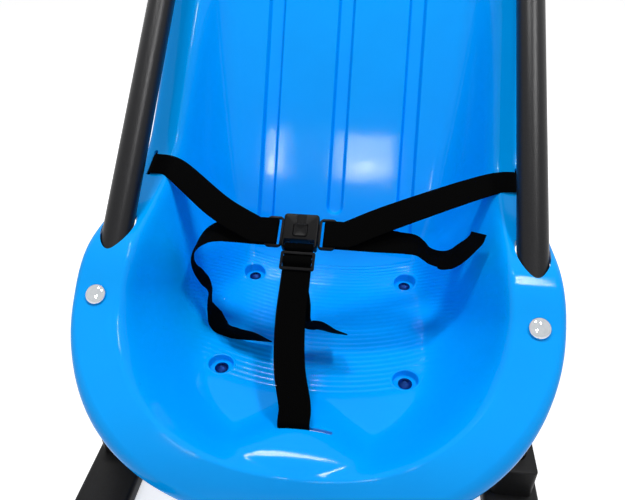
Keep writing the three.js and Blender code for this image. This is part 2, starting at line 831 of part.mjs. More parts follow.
function ski(side) {
  const x = side * archHalfSpan;
  let solid = solidOf(insetSkiBody().translate(x, 0, 0));
  for (const [, screws] of archRows) {
    const height = socketHeight + socketSink;
    const block = softBlock(socketWidth, socketLength, height, skiRounding, socketRounding);
    const middle = (socketTop + skiTop - socketSink) / 2;
    solid = solid.add(solidOf(block.translate(x, screws[0].y, middle)));
    const bore = roundBar(boreRadius(archTubeRadius), skiTop + footRest - seatGap, socketTop + cutOverrun);
    solid = solid.subtract(solidOf(bore.translate(x, screws[0].y, 0)));
    const cross = crossHole();
    solid = solid.subtract(solidOf(cross.translate(x, screws[0].y, crossBoltHeight)));
  }
  const [halfWidth, top] = [glideWidth / 2 + seatGap, glideThickness - groundDrop + seatGap];
  const channel = box(-halfWidth, halfWidth, skiFront + glideInset - seatGap, skiRear - glideInset + seatGap,
    -groundDrop - cutOverrun, top);
  solid = solid.subtract(solidOf(channel.translate(x, 0, 0)));
  for (const y of [skiFront + glideInset + glideScrewInset, skiRear - glideInset - glideScrewInset]) {
    const depth = skiBottom + glideScrewLength + seatGap;
    const hole = roundBar(glideScrewRadius + holeClearance, -groundDrop, depth, fastenerSides);
    solid = solid.subtract(solidOf(hole.translate(x, y, 0)));
  }
  return geometryOf(solid);
}

function glideStrip(side) {
  const half = glideWidth / 2;
  const strip = box(-half, half, skiFront + glideInset, skiRear - glideInset, 0, glideThickness);
  const holes = [skiFront, skiRear].map((end) => {
    const y = end + Math.sign(-end) * (glideInset + glideScrewInset);
    return glideScrewHole().translate(0, y, 0);
  });
  return cut(strip, ...holes).translate(side * archHalfSpan, 0, -groundDrop);
}

// Countersunk screw from below, and the hole that takes it
function glideScrewProfile(widening) {
  return [
    [0, 0],
    [glideScrewHeadRadius + widening, 0],
    [glideScrewRadius + widening, glideScrewHeadRadius - glideScrewRadius],
    [glideScrewRadius + widening, glideScrewLength],
    [0, glideScrewLength],
  ];
}

function glideScrewHole() {
  const [middle, ...profile] = glideScrewProfile(holeClearance);
  const mouth = [middle, profile[0]].map(([radius]) => [radius, -cutOverrun]);
  return turned([...mouth, ...profile], fastenerSides);
}

for (const [name, side] of [["left", -1], ["right", 1]]) {
  piece(`ski_${name}`, ski(side), plasticBlack);
  piece(`ski_glide_${name}`, glideStrip(side), zinc);
  for (const [place, end] of [["front", skiFront], ["rear", skiRear]]) {
    const y = end + Math.sign(-end) * (glideInset + glideScrewInset);
    const screw = turned(glideScrewProfile(0), fastenerSides);
    piece(`glide_screw_${place}_${name}`, screw.translate(side * archHalfSpan, y, -groundDrop), zinc);
  }
}

// Arches under the pan, with the screws that hold the seat and the bolts that hold the feet

for (const [place, screws] of archRows) {
  const { y, z } = screws[0];
  const tubeTop = z - pocketDrop - seatGap;
  const axis = tubeTop - archTubeRadius;
  const foot = skiTop + footRest;
  const arch = new THREE.Group();
  arch.position.set(0, y, 0);
  arch.rotation.x = Math.PI / 2;
  sled.add(arch);
  const bow = tube(bowPoints(archHalfSpan, foot, axis, archBendRadius), archTubeRadius, archTubeWall);
  const cutters = [-1, 1].flatMap((side) => {
    const [low, high] = [axis - 2 * archTubeRadius, tubeTop + cutOverrun];
    const screwHole = roundBar(screwRadius + holeClearance, low, high, fastenerSides).rotateX(-Math.PI / 2);
    screwHole.translate(side * screwHalfSpacing, 0, 0);
    return [screwHole, crossHole().translate(side * archHalfSpan, crossBoltHeight, 0)];
  });
  piece(`arch_${place}`, cut(bow, ...cutters), satinBlack, arch);
  const screwSeat = z - pocketDepth + seatGap;
  const nutSeat = tubeTop - 2 * archTubeRadius - seatGap;
  const screwLength = screwSeat - nutSeat + nutHeight + threadOverrun;
  const crossLength = socketWidth + 2 * seatGap + nutHeight + threadOverrun;
  for (const [name, side] of [["left", -1], ["right", 1]]) {
    const screw = domedBolt(screwHeadRadius, screwHeadHeight, screwRadius, screwLength);
    piece(`pan_screw_${place}_${name}`, screw.translate(side * screwHalfSpacing, y, screwSeat), zinc);
    const screwNut = nut(screwRadius + holeClearance).translate(side * screwHalfSpacing, y, nutSeat);
    piece(`pan_nut_${place}_${name}`, screwNut, zinc);
    const bolt = domedBolt(crossBoltHeadRadius, crossBoltHeadHeight, boltRadius, crossLength);
    const outer = side * (archHalfSpan + socketWidth / 2 + seatGap);
    bolt.rotateY((side * Math.PI) / 2).translate(outer, y, crossBoltHeight);
    piece(`socket_bolt_${place}_${name}`, bolt, zinc);
    const inner = side * (archHalfSpan - socketWidth / 2 - seatGap);
    const boltNut = nut(boltRadius + holeClearance).rotateY((side * Math.PI) / 2);
    piece(`socket_nut_${place}_${name}`, boltNut.translate(inner, y, crossBoltHeight), zinc);
  }
}

// Buckle with its release button, two tongues and the strap slide below it

const halfBuckle = buckleWidth / 2;
const wellHalf = buttonSize / 2 + seatGap;
const buttonTop = buckleThickness / 2 + buttonProud;
const buttonBottom = buttonTop - buttonThickness;
const bladeReach = bladeLength + seatGap;
const windowHalf = strapWidth / 2 + strapPlay;

function buckleHousing() {
  const body = softBlock(buckleWidth, buckleHeight, buckleThickness, buckleCorner, buckleRounding);
  const wellBottom = buttonBottom - buttonTravel - seatGap;
  const well = box(-wellHalf, wellHalf, -wellHalf, wellHalf, wellBottom, buckleThickness);
  const halfBlade = bladeWidth / 2 + seatGap;
  const channelHeight = bladeThickness / 2 + seatGap;
  const channels = [-1, 1].map((side) => {
    const [mouth, end] = [side * (halfBuckle + cutOverrun), side * (halfBuckle - bladeReach - seatGap)];
    const [from, to] = [Math.min(mouth, end), Math.max(mouth, end)];
    return box(from, to, -halfBlade, halfBlade, -channelHeight, channelHeight);
  });
  const slotBottom = buckleBar - buckleHeight / 2;
  const slotTop = slotBottom + buckleSlot;
  const slot = box(-windowHalf, windowHalf, slotBottom, slotTop, -buckleThickness, buckleThickness);
  const reach = halfBuckle + cutOverrun;
  const cutTop = slotTop - buckleSlot / 2;
  const frontCut = box(-reach, reach, -buckleHeight, cutTop, buckleBar / 2, buckleThickness);
  const rearCut = frontCut.clone().translate(0, 0, -buckleBar / 2 - buckleThickness);
  return cut(body, well, ...channels, slot, frontCut, rearCut);
}

piece("buckle_housing", buckleHousing(), plasticBlack, harness);

const buttonCorner = buckleCorner - buttonRounding;
const button = softBlock(buttonSize, buttonSize, buttonThickness, buttonCorner, buttonRounding);
piece("release_button", button.translate(0, 0, (buttonTop + buttonBottom) / 2), plasticBlack, harness);

// Inner face, window and outer end of a tongue, measured from the buckle's middle
const tongueInner = halfBuckle + seatGap;
const windowStart = tongueInner + tongueShoulder;
const windowEnd = windowStart + tongueWindow;
const tongueEnd = tongueInner + tongueLength;

function tongue(side) {
  const frame = softBlock(tongueLength, tongueHeight, tongueThickness, 2 * tongueArm, tongueArm / 4);
  frame.translate((tongueInner + tongueEnd) / 2, 0, 0);
  const [halfBlade, halfThickness] = [bladeWidth / 2, bladeThickness / 2];
  const blade = box(halfBuckle - bladeLength, windowStart - tongueShoulder / 2, -halfBlade, halfBlade,
    -halfThickness, halfThickness);
  const window = box(windowStart, windowEnd, tongueArm - tongueHeight / 2, tongueHeight / 2 - tongueArm,
    -cutOverrun, cutOverrun);
  return cut(joined(frame, blade), window).rotateZ(side < 0 ? Math.PI : 0);
}

piece("left_tongue", tongue(-1), plasticBlack, harness);
piece("right_tongue", tongue(1), plasticBlack, harness);

const triGlideHeight = 3 * triGlideBar + 2 * triGlideWindow;

function triGlide() {
  const rounding = triGlideThickness / 4;
  const plate = softBlock(triGlideWidth, triGlideHeight, triGlideThickness, triGlideCorner, rounding);
  const windows = [-1, 1].map((side) => {
    const middle = (side * (triGlideBar + triGlideWindow)) / 2;
    const half = triGlideWidth / 2 - triGlideFrame;
    const [from, to] = [middle - triGlideWindow / 2, middle + triGlideWindow / 2];
    return box(-half, half, from, to, -cutOverrun, cutOverrun);
  });
  return cut(plate, ...windows).translate(0, triGlidePlace, 0);
}

piece("strap_slide", triGlide(), plasticBlack, harness);

// Straps

// A flat strap along rows, each a place and the direction across the strap
function strap(rows) {
  const corners = [];
  rows.forEach(({ place, across }, i) => {
    const before = rows[Math.max(i - 1, 0)].place;
    const after = rows[Math.min(i + 1, rows.length - 1)].place;
    const along = after.clone().sub(before).normalize();
    const flat = across.clone().addScaledVector(along, -across.dot(along)).normalize();
    const normal = along.clone().cross(flat).normalize();
    for (const [right, up] of [[-1, -1], [1, -1], [1, 1], [-1, 1]]) {
      const corner = place.clone().addScaledVector(flat, (right * strapWidth) / 2);
      corners.push(corner.addScaledVector(normal, (up * strapThickness) / 2));
    }
  });
  const index = [0, 2, 1, 0, 3, 2];
  for (let i = 0; i < rows.length - 1; i++) {
    for (let k = 0; k < 4; k++) {
      const [a, b] = [4 * i + k, 4 * i + ((k + 1) % 4)];
      // Both wide faces fold on the same diagonal, so a twisted strap keeps its thickness
      if (k < 2) index.push(a, b, b + 4, a, b + 4, a + 4);
      else index.push(a, b, a + 4, b, b + 4, a + 4);
    }
  }
  const end = 4 * (rows.length - 1);
  index.push(end, end + 1, end + 2, end, end + 2, end + 3);
  const positions = corners.flatMap((corner) => corner.toArray());
  const geometry = new THREE.BufferGeometry();
  geometry.setAttribute("position", new THREE.Float32BufferAttribute(positions, 3));
  geometry.setIndex(index);
  return outwards(geometry);
}

// The same body with its faces pointing out
function outwards(geometry) {
  const place = geometry.attributes.position;
  const corners = geometry.index.array;
  const [a, b, c] = [new THREE.Vector3(), new THREE.Vector3(), new THREE.Vector3()];
  let volume = 0;
  for (let i = 0; i < corners.length; i += 3) {
    a.fromBufferAttribute(place, corners[i]);
    b.fromBufferAttribute(place, corners[i + 1]);
    c.fromBufferAttribute(place, corners[i + 2]);
    volume += a.dot(b.cross(c));
  }
  if (volume < 0) geometry.setIndex(Array.from(corners).reverse());
  return geometry;
}

// Rows between the given ones, on a smooth curve through them
function smoothed(rows) {
  const places = new THREE.CatmullRomCurve3(rows.map((row) => row.place));
  const directions = new THREE.CatmullRomCurve3(rows.map((row) => row.across));
  const count = (rows.length - 1) * strapSteps;
  return Array.from({ length: count + 1 }, (_, i) => ({
    place: places.getPoint(i / count),
    across: directions.getPoint(i / count).normalize(),
  }));
}

function harnessRow(x, y, z, across = [0, 1, 0]) {
  const place = new THREE.Vector3(x, y, z).applyMatrix4(harness.matrix);
  return { place, across: new THREE.Vector3(...across).transformDirection(harness.matrix) };
}

function tailRows(shares) {
  return shares.map(([x, w, h, ...across]) => ({
    place: new THREE.Vector3(x, w, h).multiplyScalar(seatDepth),
    across: new THREE.Vector3(...across).normalize(),
  }));
}

const strapOffset = seatGap + strapThickness / 2;

// A hip strap: up through its slot, across to the tongue, round the tongue's bar and back as a loose end
function hipStrap(side, shares) {
  const frame = hipSlotFrame(side);
  const across = new THREE.Vector3(0, 1, 0).transformDirection(frame);
  const slotRow = (inward, up) => {
    const place = new THREE.Vector3(-side * inward, 0, up).applyMatrix4(frame);
    return { place, across: across.clone() };
  };
  const bend = tongueThickness / 2 + strapOffset;
  const turn = windowEnd - strapOffset;
  const rim = [slotRow(0, -shellWall), slotRow(0, strapRise / 2), slotRow(strapBend / 2, strapRise)];
  const free = smoothed([
    slotRow(strapBend, strapRise),
    slotRow(2 * strapBend, strapRise / 2),
    harnessRow(side * hipReachShare * tongueEnd, hipRiseShare * tongueEnd, bend, [side * -0.3, 1, 0]),
    harnessRow(side * (tongueEnd + strapBend), 0, bend),
  ]);
  const wrap = [
    harnessRow(side * (windowEnd + seatGap), 0, bend),
    harnessRow(side * (turn - seatGap), 0, bend - strapThickness / 2),
    harnessRow(side * (turn - strapOffset), 0, bend / 2),
    harnessRow(side * (turn - strapOffset), 0, -bend / 2),
    harnessRow(side * (turn - seatGap), 0, strapThickness / 2 - bend),
    harnessRow(side * (windowEnd + seatGap), 0, -bend),
  ];
  const loose = smoothed([harnessRow(side * (tongueEnd + strapBend / 2), 0, -bend), ...tailRows(shares)]);
  return strap([...rim, ...free, ...wrap, ...loose]);
}

piece("left_hip_strap", hipStrap(-1, leftTailShares), webbingBlack, seat);
piece("right_hip_strap", hipStrap(1, rightTailShares), webbingBlack, seat);

// The strap fills one end of its slot
const crotchStrapShift = (strapWidth - crotchSlotLength + slotWidth) / 2;

// The crotch strap: up through its slot, woven through the slide and hooked over the buckle's bar
function crotchStrap() {
  const across = new THREE.Vector3(1, 0, 0);
  const slotRow = (back, up) => ({
    place: new THREE.Vector3(crotchStrapShift, back, up).applyMatrix4(crotchSlotFrame),
    across: across.clone(),
  });
  const sewn = -shellWall - crotchKeeperDrop;
  const rise = [slotRow(0, sewn), slotRow(0, strapRise / 2), slotRow(strapBend / 3, strapRise)];
  const offset = triGlideThickness / 2 + strapOffset;
  const lowerBar = triGlidePlace - triGlideBar - triGlideWindow;
  const upperBar = triGlidePlace + triGlideBar + triGlideWindow;
  const along = [1, 0, 0];
  const free = smoothed([
    slotRow(strapBend, strapRise + strapBend / 2),
    harnessRow(strapRise, crotchReachShares[0] * triGlidePlace, -seatGap, along),
    harnessRow(seatGap, crotchReachShares[1] * triGlidePlace, -offset, along),
    harnessRow(0, lowerBar - triGlideBar, -offset, along),
  ]);
  const buckleEdge = -buckleHeight / 2;
  const hook = buckleBar / 2 + strapOffset;
  const slotMiddle = buckleEdge + buckleBar + buckleSlot / 2;
  const woven = [
    harnessRow(0, lowerBar + triGlideBar / 2, -offset, along),
    harnessRow(0, triGlidePlace - triGlideBar / 2, offset, along),
    harnessRow(0, triGlidePlace + triGlideBar / 2, offset, along),
    harnessRow(0, upperBar - triGlideBar / 2, -offset, along),
    harnessRow(0, upperBar + triGlideBar / 2, -hook, along),
    harnessRow(0, buckleEdge + buckleBar / 2, -hook, along),
    harnessRow(0, slotMiddle - strapOffset / 2, seatGap - hook, along),
    harnessRow(0, slotMiddle, -hook / 2, along),
    harnessRow(0, slotMiddle, hook / 2, along),
    harnessRow(0, slotMiddle - strapOffset / 2, hook - seatGap, along),
    harnessRow(0, buckleEdge + buckleBar / 2, hook, along),
  ];
  return strap([...rise, ...free, ...woven]);
}

piece("crotch_strap", crotchStrap(), webbingBlack, seat);

// The crotch strap's loose end, from the back of the slide
const tailGap = triGlideThickness / 2 + strapThickness + 2 * seatGap + strapThickness / 2;
const crotchTail = smoothed([
  harnessRow(0, triGlidePlace, -tailGap, [1, 0, 0]),
  harnessRow(0, triGlidePlace - triGlideHeight, -tailGap - strapThickness, [1, 0, 0]),
  harnessRow(0, 2 * triGlidePlace, -strapBend, [1, 0.2, 0]),
  ...tailRows(crotchTailShares),
]);
piece("crotch_strap_tail", strap(crotchTail), webbingBlack, seat);

// Keepers behind the slots, where the straps are sewn on
function keeper(length, width, drop = 0) {
  const top = -shellWall - seatGap - drop;
  return box(-width / 2, width / 2, -length / 2, length / 2, top - keeperThickness, top);
}

for (const [name, side] of [["left", -1], ["right", 1]]) {
  const geometry = keeper(hipSlotLength + 2 * keeperOverlap, keeperWidth).applyMatrix4(hipSlotFrame(side));
  piece(`${name}_keeper`, geometry, plasticBlack, seat);
}
const crotchKeeperLength = strapWidth + 2 * crotchKeeperMargin;
const crotchKeeper = keeper(crotchKeeperLength, keeperWidth, crotchKeeperDrop).rotateZ(Math.PI / 2);
crotchKeeper.translate(crotchStrapShift, 0, 0).applyMatrix4(crotchSlotFrame);
piece("crotch_keeper", crotchKeeper, plasticBlack, seat);

// Stand the sled on the ground with its middle on the origin
sled.updateMatrixWorld(true);
const bounds = new THREE.Box3().setFromObject(sled, true);
const middle = bounds.getCenter(new THREE.Vector3());
sled.position.set(-middle.x, -middle.y, -bounds.min.z);
sled.updateMatrixWorld(true);

export default sled;
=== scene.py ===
# %% [markdown]
# # A baby pull sled
#
# The real sled is a glossy blue bucket seat, moulded in one piece, on two tube arches and two
# black plastic skis. A tube push bar is bolted through the rim, and a three-strap harness with a
# centre buckle holds the child. The CAD model gives the frame: every piece here is built at its
# real size, in metres, and rides on one of the CAD bodies.

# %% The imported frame
from math import asin, atan2, cos, pi, radians, sin, sqrt, tau
import bmesh
import bpy
import numpy as np
from mathutils import Matrix, Vector


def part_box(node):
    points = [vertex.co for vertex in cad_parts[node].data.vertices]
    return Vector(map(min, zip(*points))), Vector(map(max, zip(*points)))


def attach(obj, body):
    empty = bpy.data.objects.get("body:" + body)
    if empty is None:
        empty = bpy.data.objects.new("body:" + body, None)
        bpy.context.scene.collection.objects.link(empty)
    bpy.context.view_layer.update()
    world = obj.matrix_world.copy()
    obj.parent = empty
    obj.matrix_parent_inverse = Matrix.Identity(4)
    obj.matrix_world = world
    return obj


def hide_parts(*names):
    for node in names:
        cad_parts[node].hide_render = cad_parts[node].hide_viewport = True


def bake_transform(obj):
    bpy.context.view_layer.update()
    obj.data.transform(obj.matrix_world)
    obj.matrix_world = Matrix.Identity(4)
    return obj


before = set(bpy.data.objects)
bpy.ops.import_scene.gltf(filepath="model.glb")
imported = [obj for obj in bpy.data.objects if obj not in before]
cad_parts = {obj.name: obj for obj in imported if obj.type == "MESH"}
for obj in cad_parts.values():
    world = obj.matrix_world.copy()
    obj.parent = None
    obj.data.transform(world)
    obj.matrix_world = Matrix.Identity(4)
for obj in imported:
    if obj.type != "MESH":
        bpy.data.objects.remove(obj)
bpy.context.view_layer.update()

# %% [markdown]
# ## Lengths and leaning frames
#
# The drawings of the sled are in millimetres, so the pieces are worked out in millimetres and
# turned to metres once, by the matrix of the frame they are drawn in. The seat is moulded in a
# frame that leans back 35 degrees: w runs up the seat and h comes out of it. The push bar and the
# buckle lean again inside that frame.

# %% Frames
MM = 0.001
GROUND = Matrix.Scale(MM, 4)
ORIGIN = (0, -141.0526, 219)
SEAT_TILT, BAR_TILT, BUCKLE_TILT = (radians(angle) for angle in (35, -15.9, -26))
SEAT = GROUND @ Matrix.Translation(ORIGIN) @ Matrix.Rotation(pi / 2 - SEAT_TILT, 4, "X")
BAR = SEAT @ Matrix.Translation((0, -14, -17.9)) @ Matrix.Rotation(BAR_TILT, 4, "X")
HARNESS = SEAT @ Matrix.Translation((-18, 52, -60)) @ Matrix.Rotation(BUCKLE_TILT, 4, "X")


def unit(rows):
    """Each direction at a length of 1."""
    return rows / np.linalg.norm(rows, axis=-1, keepdims=True)


def placed(matrix, points):
    """Points of a frame, as metres in the row frame."""
    return np.asarray(points, float) @ np.array(matrix.to_3x3()).T + np.array(matrix.translation)


def at(matrix, x=0.0, y=0.0, z=0.0):
    return matrix @ Matrix.Translation((x, y, z))


def facing(matrix, axis, turn):
    """The frame turned about one of its axes by degrees."""
    return matrix @ Matrix.Rotation(radians(turn), 4, axis)


print("seat frame stands at", [round(v, 4) for v in SEAT.translation])

# %% [markdown]
# ## Colours and nodes
#
# Colours are written as sRGB hex values, as a paint or plastic sample would be read off a screen.
# Blender's shaders count in linear light, so one function turns them over. Another adds a shader
# node with its settings and its links in one line.

# %% Colours as light
def linear(code):
    """An sRGB hex colour as linear light."""
    parts = [int(code[i:i + 2], 16) / 255 for i in (1, 3, 5)]
    return [v / 12.92 if v <= 0.04045 else ((v + 0.055) / 1.055) ** 2.4 for v in parts] + [1.0]


print("middle grey is", round(linear("#808080")[0], 3), "of white light")


# %% Nodes
def node(tree, kind, inputs=None, **settings):
    """A new node with its settings, and with each input set to a value or linked to a socket."""
    made = tree.nodes.new(kind)
    for name, value in settings.items():
        setattr(made, name, value)
    for name, value in (inputs or {}).items():
        if isinstance(value, bpy.types.NodeSocket):
            tree.links.new(value, made.inputs[name])
        else:
            made.inputs[name].default_value = value
    return made


def fed(shader, name, socket):
    shader.id_data.links.new(socket, shader.inputs[name])


def maths(operation, socket, *values):
    """A sum of a socket with one more value or socket, or alone."""
    inputs = dict(enumerate((socket, *values)))
    return node(socket.id_data, "ShaderNodeMath", inputs, operation=operation).outputs[0]


def new_material(name, slot=None, **inputs):
    """A material and its Principled shader, with uniform values set directly; the slot argument is not used.
    """
    material = bpy.data.materials.new(name)
    material.use_nodes = True
    shader = material.node_tree.nodes["Principled BSDF"]
    for socket, value in inputs.items():
        shader.inputs[socket.replace("_", " ")].default_value = value
    print("material", name, inputs)
    return material, shader


# %% Grain, colour and bumps
def object_place(shader):
    return node(shader.id_data, "ShaderNodeTexCoord").outputs["Object"]


def noise(place, size_mm, detail=2.0, roughness=0.5):
    """Noise with lumps of about size_mm across."""
    settings = {"Vector": place, "Scale": 1 / (size_mm * MM), "Detail": detail, "Roughness": roughness}
    return node(place.id_data, "ShaderNodeTexNoise", settings).outputs["Fac"]


def cell_distance(place, size_mm, feature="F1"):
    """Distance from the middle of cells of about size_mm across."""
    inputs = {"Vector": place, "Scale": 1 / (size_mm * MM)}
    return node(place.id_data, "ShaderNodeTexVoronoi", inputs, feature=feature).outputs["Distance"]


def spread(value, low, high):
    """A 0 to 1 value spread between two others."""
    inputs = {"Value": value, "To Min": low, "To Max": high}
    return node(value.id_data, "ShaderNodeMapRange", inputs).outputs[0]


def coloured(shader, value, low, high):
    """The base colour wanders between two hex colours."""
    inputs = {"Factor": value, 6: linear(low), 7: linear(high)}
    fed(shader, "Base Color", node(shader.id_data, "ShaderNodeMix", inputs, data_type="RGBA").outputs[2])


def roughened(shader, value, low, high):
    fed(shader, "Roughness", spread(value, low, high))


def bumped(shader, height, depth_mm, before=None):
    """A bump of depth_mm between the low and high places of a height."""
    inputs = {"Height": height, "Distance": depth_mm * MM, "Strength": 1.0}
    if before:
        inputs["Normal"] = before
    bump = node(shader.id_data, "ShaderNodeBump", inputs).outputs["Normal"]
    fed(shader, "Normal", bump)
    return bump


print("a grain of 1 mm is noise of scale", 1 / MM)

# %% [markdown]
# ## Materials
#
# Each one is named for what the real part is made of and how its surface was made.

# %% Glossy moulded polyethylene
# The seat is injection-moulded polyethylene, IOR about 1.51. Its polished mould leaves a wet
# gloss with long waves of a few centimetres, which bend the reflected lamps a little. The specular
# level is low, so that a white studio doesn't bleach the blue, and the lamps are small and strong.
polyethylene, shader = new_material("moulded_blue_polyethylene", "seat_plastic", IOR=1.51,
                                    Specular_IOR_Level=0.1)
place = object_place(shader)
coloured(shader, noise(place, 45), "#00a3ff", "#009cf8")
roughened(shader, noise(place, 12), 0.06, 0.1)
waves = bumped(shader, noise(place, 28, 1.0), 0.12)
bumped(shader, noise(place, 1.1, 3.0), 0.006, before=waves)

# %% Black powder coat on steel
# Powder coat melts into a satin skin with a fine grain, about 0.4 mm from lump to lump. It is
# drawn more than twice as coarse here, so that it shows from arm's length.
powder_coat, shader = new_material("satin_black_powder_coat", "powder_coat", IOR=1.5,
                                   Specular_IOR_Level=0.24)
place = object_place(shader)
grain = noise(place, 1.1, 3.0, 0.6)
coloured(shader, grain, "#060607", "#1c1c1f")
roughened(shader, noise(place, 6), 0.28, 0.36)
bumped(shader, grain, 0.16)

# %% Foam rubber
# The grip is closed-cell foam rubber with a ground surface: no gloss, and cut cells of a millimetre.
foam, shader = new_material("ground_black_foam_rubber", "foam", IOR=1.45, Roughness=0.92)
cells = cell_distance(object_place(shader), 1.2)
coloured(shader, cells, "#0b0b0c", "#1c1c1e")
bumped(shader, cells, 0.25)

# %% Chrome plate
# The domed heads are polished and chrome plated. Chrome gives back a little more than half of the
# light, so its grey is darker than the white studio that it mirrors, with the faintest waves.
chrome, shader = new_material("polished_chrome_plate", "chrome", Metallic=1.0, Roughness=0.05)
place = object_place(shader)
coloured(shader, noise(place, 4), "#bfc4c9", "#d3d7da")
bumped(shader, noise(place, 3), 0.01)

# %% Zinc plate
# Nuts, screws and glide strips are zinc-plated steel: grey with a bluish cast and soft, short
# brush marks that run along the sled.
zinc, shader = new_material("brushed_zinc_plate", "zinc_steel", Metallic=1.0)
drawn = node(shader.id_data, "ShaderNodeMapping",
             {"Vector": object_place(shader), "Scale": (1.0, 0.04, 1.0)}).outputs[0]
marks = noise(drawn, 0.35, 4.0, 0.7)
coloured(shader, marks, "#a9adb3", "#c9ccd1")
roughened(shader, marks, 0.28, 0.46)
bumped(shader, marks, 0.01)

# %% Dark zinc with painted shade
# The button heads down in the seat's recesses are zinc painted dark blue for the shade at the bottom of
# the recesses, so they stay dark between the blue walls.
shade_dark_zinc, shader = new_material("painted_shade_zinc_plate", "zinc_steel", Metallic=1.0)
patches = noise(object_place(shader), 1.5, 3.0)
coloured(shader, patches, "#0c2250", "#1a3d80")
roughened(shader, patches, 0.35, 0.5)
bumped(shader, patches, 0.01)

# %% Black nylon
# Buckle parts, keepers and plugs are moulded nylon from a spark-eroded mould: a fine, even grain
# of 0.3 mm that breaks the gloss.
nylon, shader = new_material("spark_textured_black_nylon", "black_plastic", IOR=1.53,
                             Specular_IOR_Level=0.06)
place = object_place(shader)
grain = noise(place, 0.35)
coloured(shader, grain, "#050506", "#0b0b0d")
roughened(shader, noise(place, 5), 0.3, 0.4)
bumped(shader, grain, 0.02)

# %% Black ski plastic
# The skis are high-density polyethylene with a leather-like grain on top that snow has not worn.
ski_plastic, shader = new_material("grained_black_polyethylene", "black_plastic", IOR=1.51,
                                   Specular_IOR_Level=0.2)
place = object_place(shader)
leather = cell_distance(place, 2.2, "SMOOTH_F1")
coloured(shader, leather, "#0a0a0b", "#131314")
roughened(shader, noise(place, 20), 0.42, 0.58)
bumped(shader, leather, 0.08)

# %% Woven webbing
# The straps are polypropylene webbing: fat warp cords run along it, 1.4 mm apart, and the weft
# crosses them every 1.1 mm. Each mesh carries its own millimetres across and along the strap, so
# the weave follows every bend. Counted in millimetres, fuzz of 0.4 has a size of 400 here.
WARP, WEFT, FUZZ = 1.4, 1.1, 400
webbing, shader = new_material("woven_black_polypropylene", "webbing", IOR=1.49, Roughness=0.85,
                               Specular_IOR_Level=0.02)
threads = node(shader.id_data, "ShaderNodeAttribute", attribute_name="strap_mm").outputs["Vector"]
apart = node(shader.id_data, "ShaderNodeSeparateXYZ", {"Vector": threads})


def cords(socket, pitch):
    """A row of round cords a pitch apart."""
    return maths("SINE", maths("MULTIPLY", apart.outputs[socket], tau / pitch))


crossing = maths("MULTIPLY", cords("X", 2 * WARP), cords("Y", 2 * WEFT))
weave = spread(maths("ADD", crossing, cords("X", WARP)), 0.25, 0.75)
coloured(shader, weave, "#010101", "#060606")
fuzz = bumped(shader, noise(threads, FUZZ), 0.05)
bumped(shader, weave, 0.22, before=fuzz)

# %% [markdown]
# ## The camera
#
# The photograph was taken from above the knees of whoever sits in the sled, looking down along
# the seat's own h axis, turned 6 degrees to one side and rolled by 3.8 degrees. The focal length
# is 600 pixels of a picture that is 625 pixels wide.

# %% Camera
def in_scene(name, data):
    """A new object of the scene that shows a camera, a mesh or a lamp."""
    made = bpy.data.objects.new(name, data)
    bpy.context.scene.collection.objects.link(made)
    return made


YAW, ROLL = radians(6), radians(3.8)
FOCAL_PIXELS, PICTURE_WIDTH, SENSOR = 600, 625, 36
EYE = (48, 38, 461)
seat_turn = SEAT.to_3x3() * (1 / MM)
sideways = seat_turn @ Vector((cos(YAW), 0, -sin(YAW)))
away = seat_turn @ Vector((-sin(YAW), 0, -cos(YAW)))
upward = seat_turn @ Vector((0, 1, 0))
picture_right = sideways * cos(ROLL) + upward * sin(ROLL)
picture_up = upward * cos(ROLL) - sideways * sin(ROLL)
camera_data = bpy.data.cameras.new("camera")
camera_data.sensor_width = SENSOR
camera_data.lens = SENSOR * FOCAL_PIXELS / PICTURE_WIDTH
camera_data.clip_start = 0.01
camera = in_scene("camera", camera_data)
view = Matrix((picture_right, picture_up, -away)).transposed().to_4x4()
view.translation = SEAT @ Vector(EYE)
camera.matrix_world = view
bpy.context.scene.camera = camera
bpy.context.scene.view_settings.view_transform = "Standard"
print("camera at", [round(v, 3) for v in view.translation])

# %% [markdown]
# ## Meshes from numbers
#
# Most pieces of the sled are turned, swept or moulded, so their meshes come straight from rows of
# points. One function makes the object. Another gives it its material, rides it on its body and
# hides the CAD nodes that it stands for. Edges sharper than 40 degrees stay crisp, unless a piece gives
# another angle.

# %% Pieces
def solid(name, matrix, shape, sharp=40):
    """A closed mesh object from (points, faces) in a frame, smooth between its sharp edges."""
    points, faces = shape
    mesh = bpy.data.meshes.new(name)
    mesh.from_pydata(placed(matrix, points).tolist(), [], [list(face) for face in faces])
    faced_out(mesh, 2e-6)
    return smoothed(in_scene(name, mesh), sharp)


def faced_out(mesh, merge=0.0):
    """Points closer than merge become one, and all faces turn outwards."""
    tidy = bmesh.new()
    tidy.from_mesh(mesh)
    if merge:
        bmesh.ops.remove_doubles(tidy, verts=tidy.verts, dist=merge)
    bmesh.ops.recalc_face_normals(tidy, faces=tidy.faces)
    tidy.to_mesh(mesh)
    tidy.free()


def smoothed(made, sharp):
    made.data.shade_smooth()
    made.data.set_sharp_from_angle(angle=radians(sharp))
    return made


def finished(made, material, body, *nodes):
    """The piece gets its material and its body, and the CAD nodes that it stands for are hidden."""
    made.data.materials.clear()
    made.data.materials.append(material)
    if body:
        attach(made, body)
    if nodes:
        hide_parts(*nodes)
    print("piece", made.name, "on", body or "two bodies")
    return made


# %% Rings and turned pieces
def loft(rings, caps=True):
    """Rings of the same number of points, joined in order, with flat ends."""
    rings = [np.asarray(ring, float) for ring in rings]
    count = len(rings[0])
    faces = []
    for k in range(len(rings) - 1):
        for i in range(count):
            j = (i + 1) % count
            faces.append((k * count + i, k * count + j, (k + 1) * count + j, (k + 1) * count + i))
    if caps:
        faces.append(range(count - 1, -1, -1))
        faces.append(range((len(rings) - 1) * count, len(rings) * count))
    return np.vstack(rings), faces


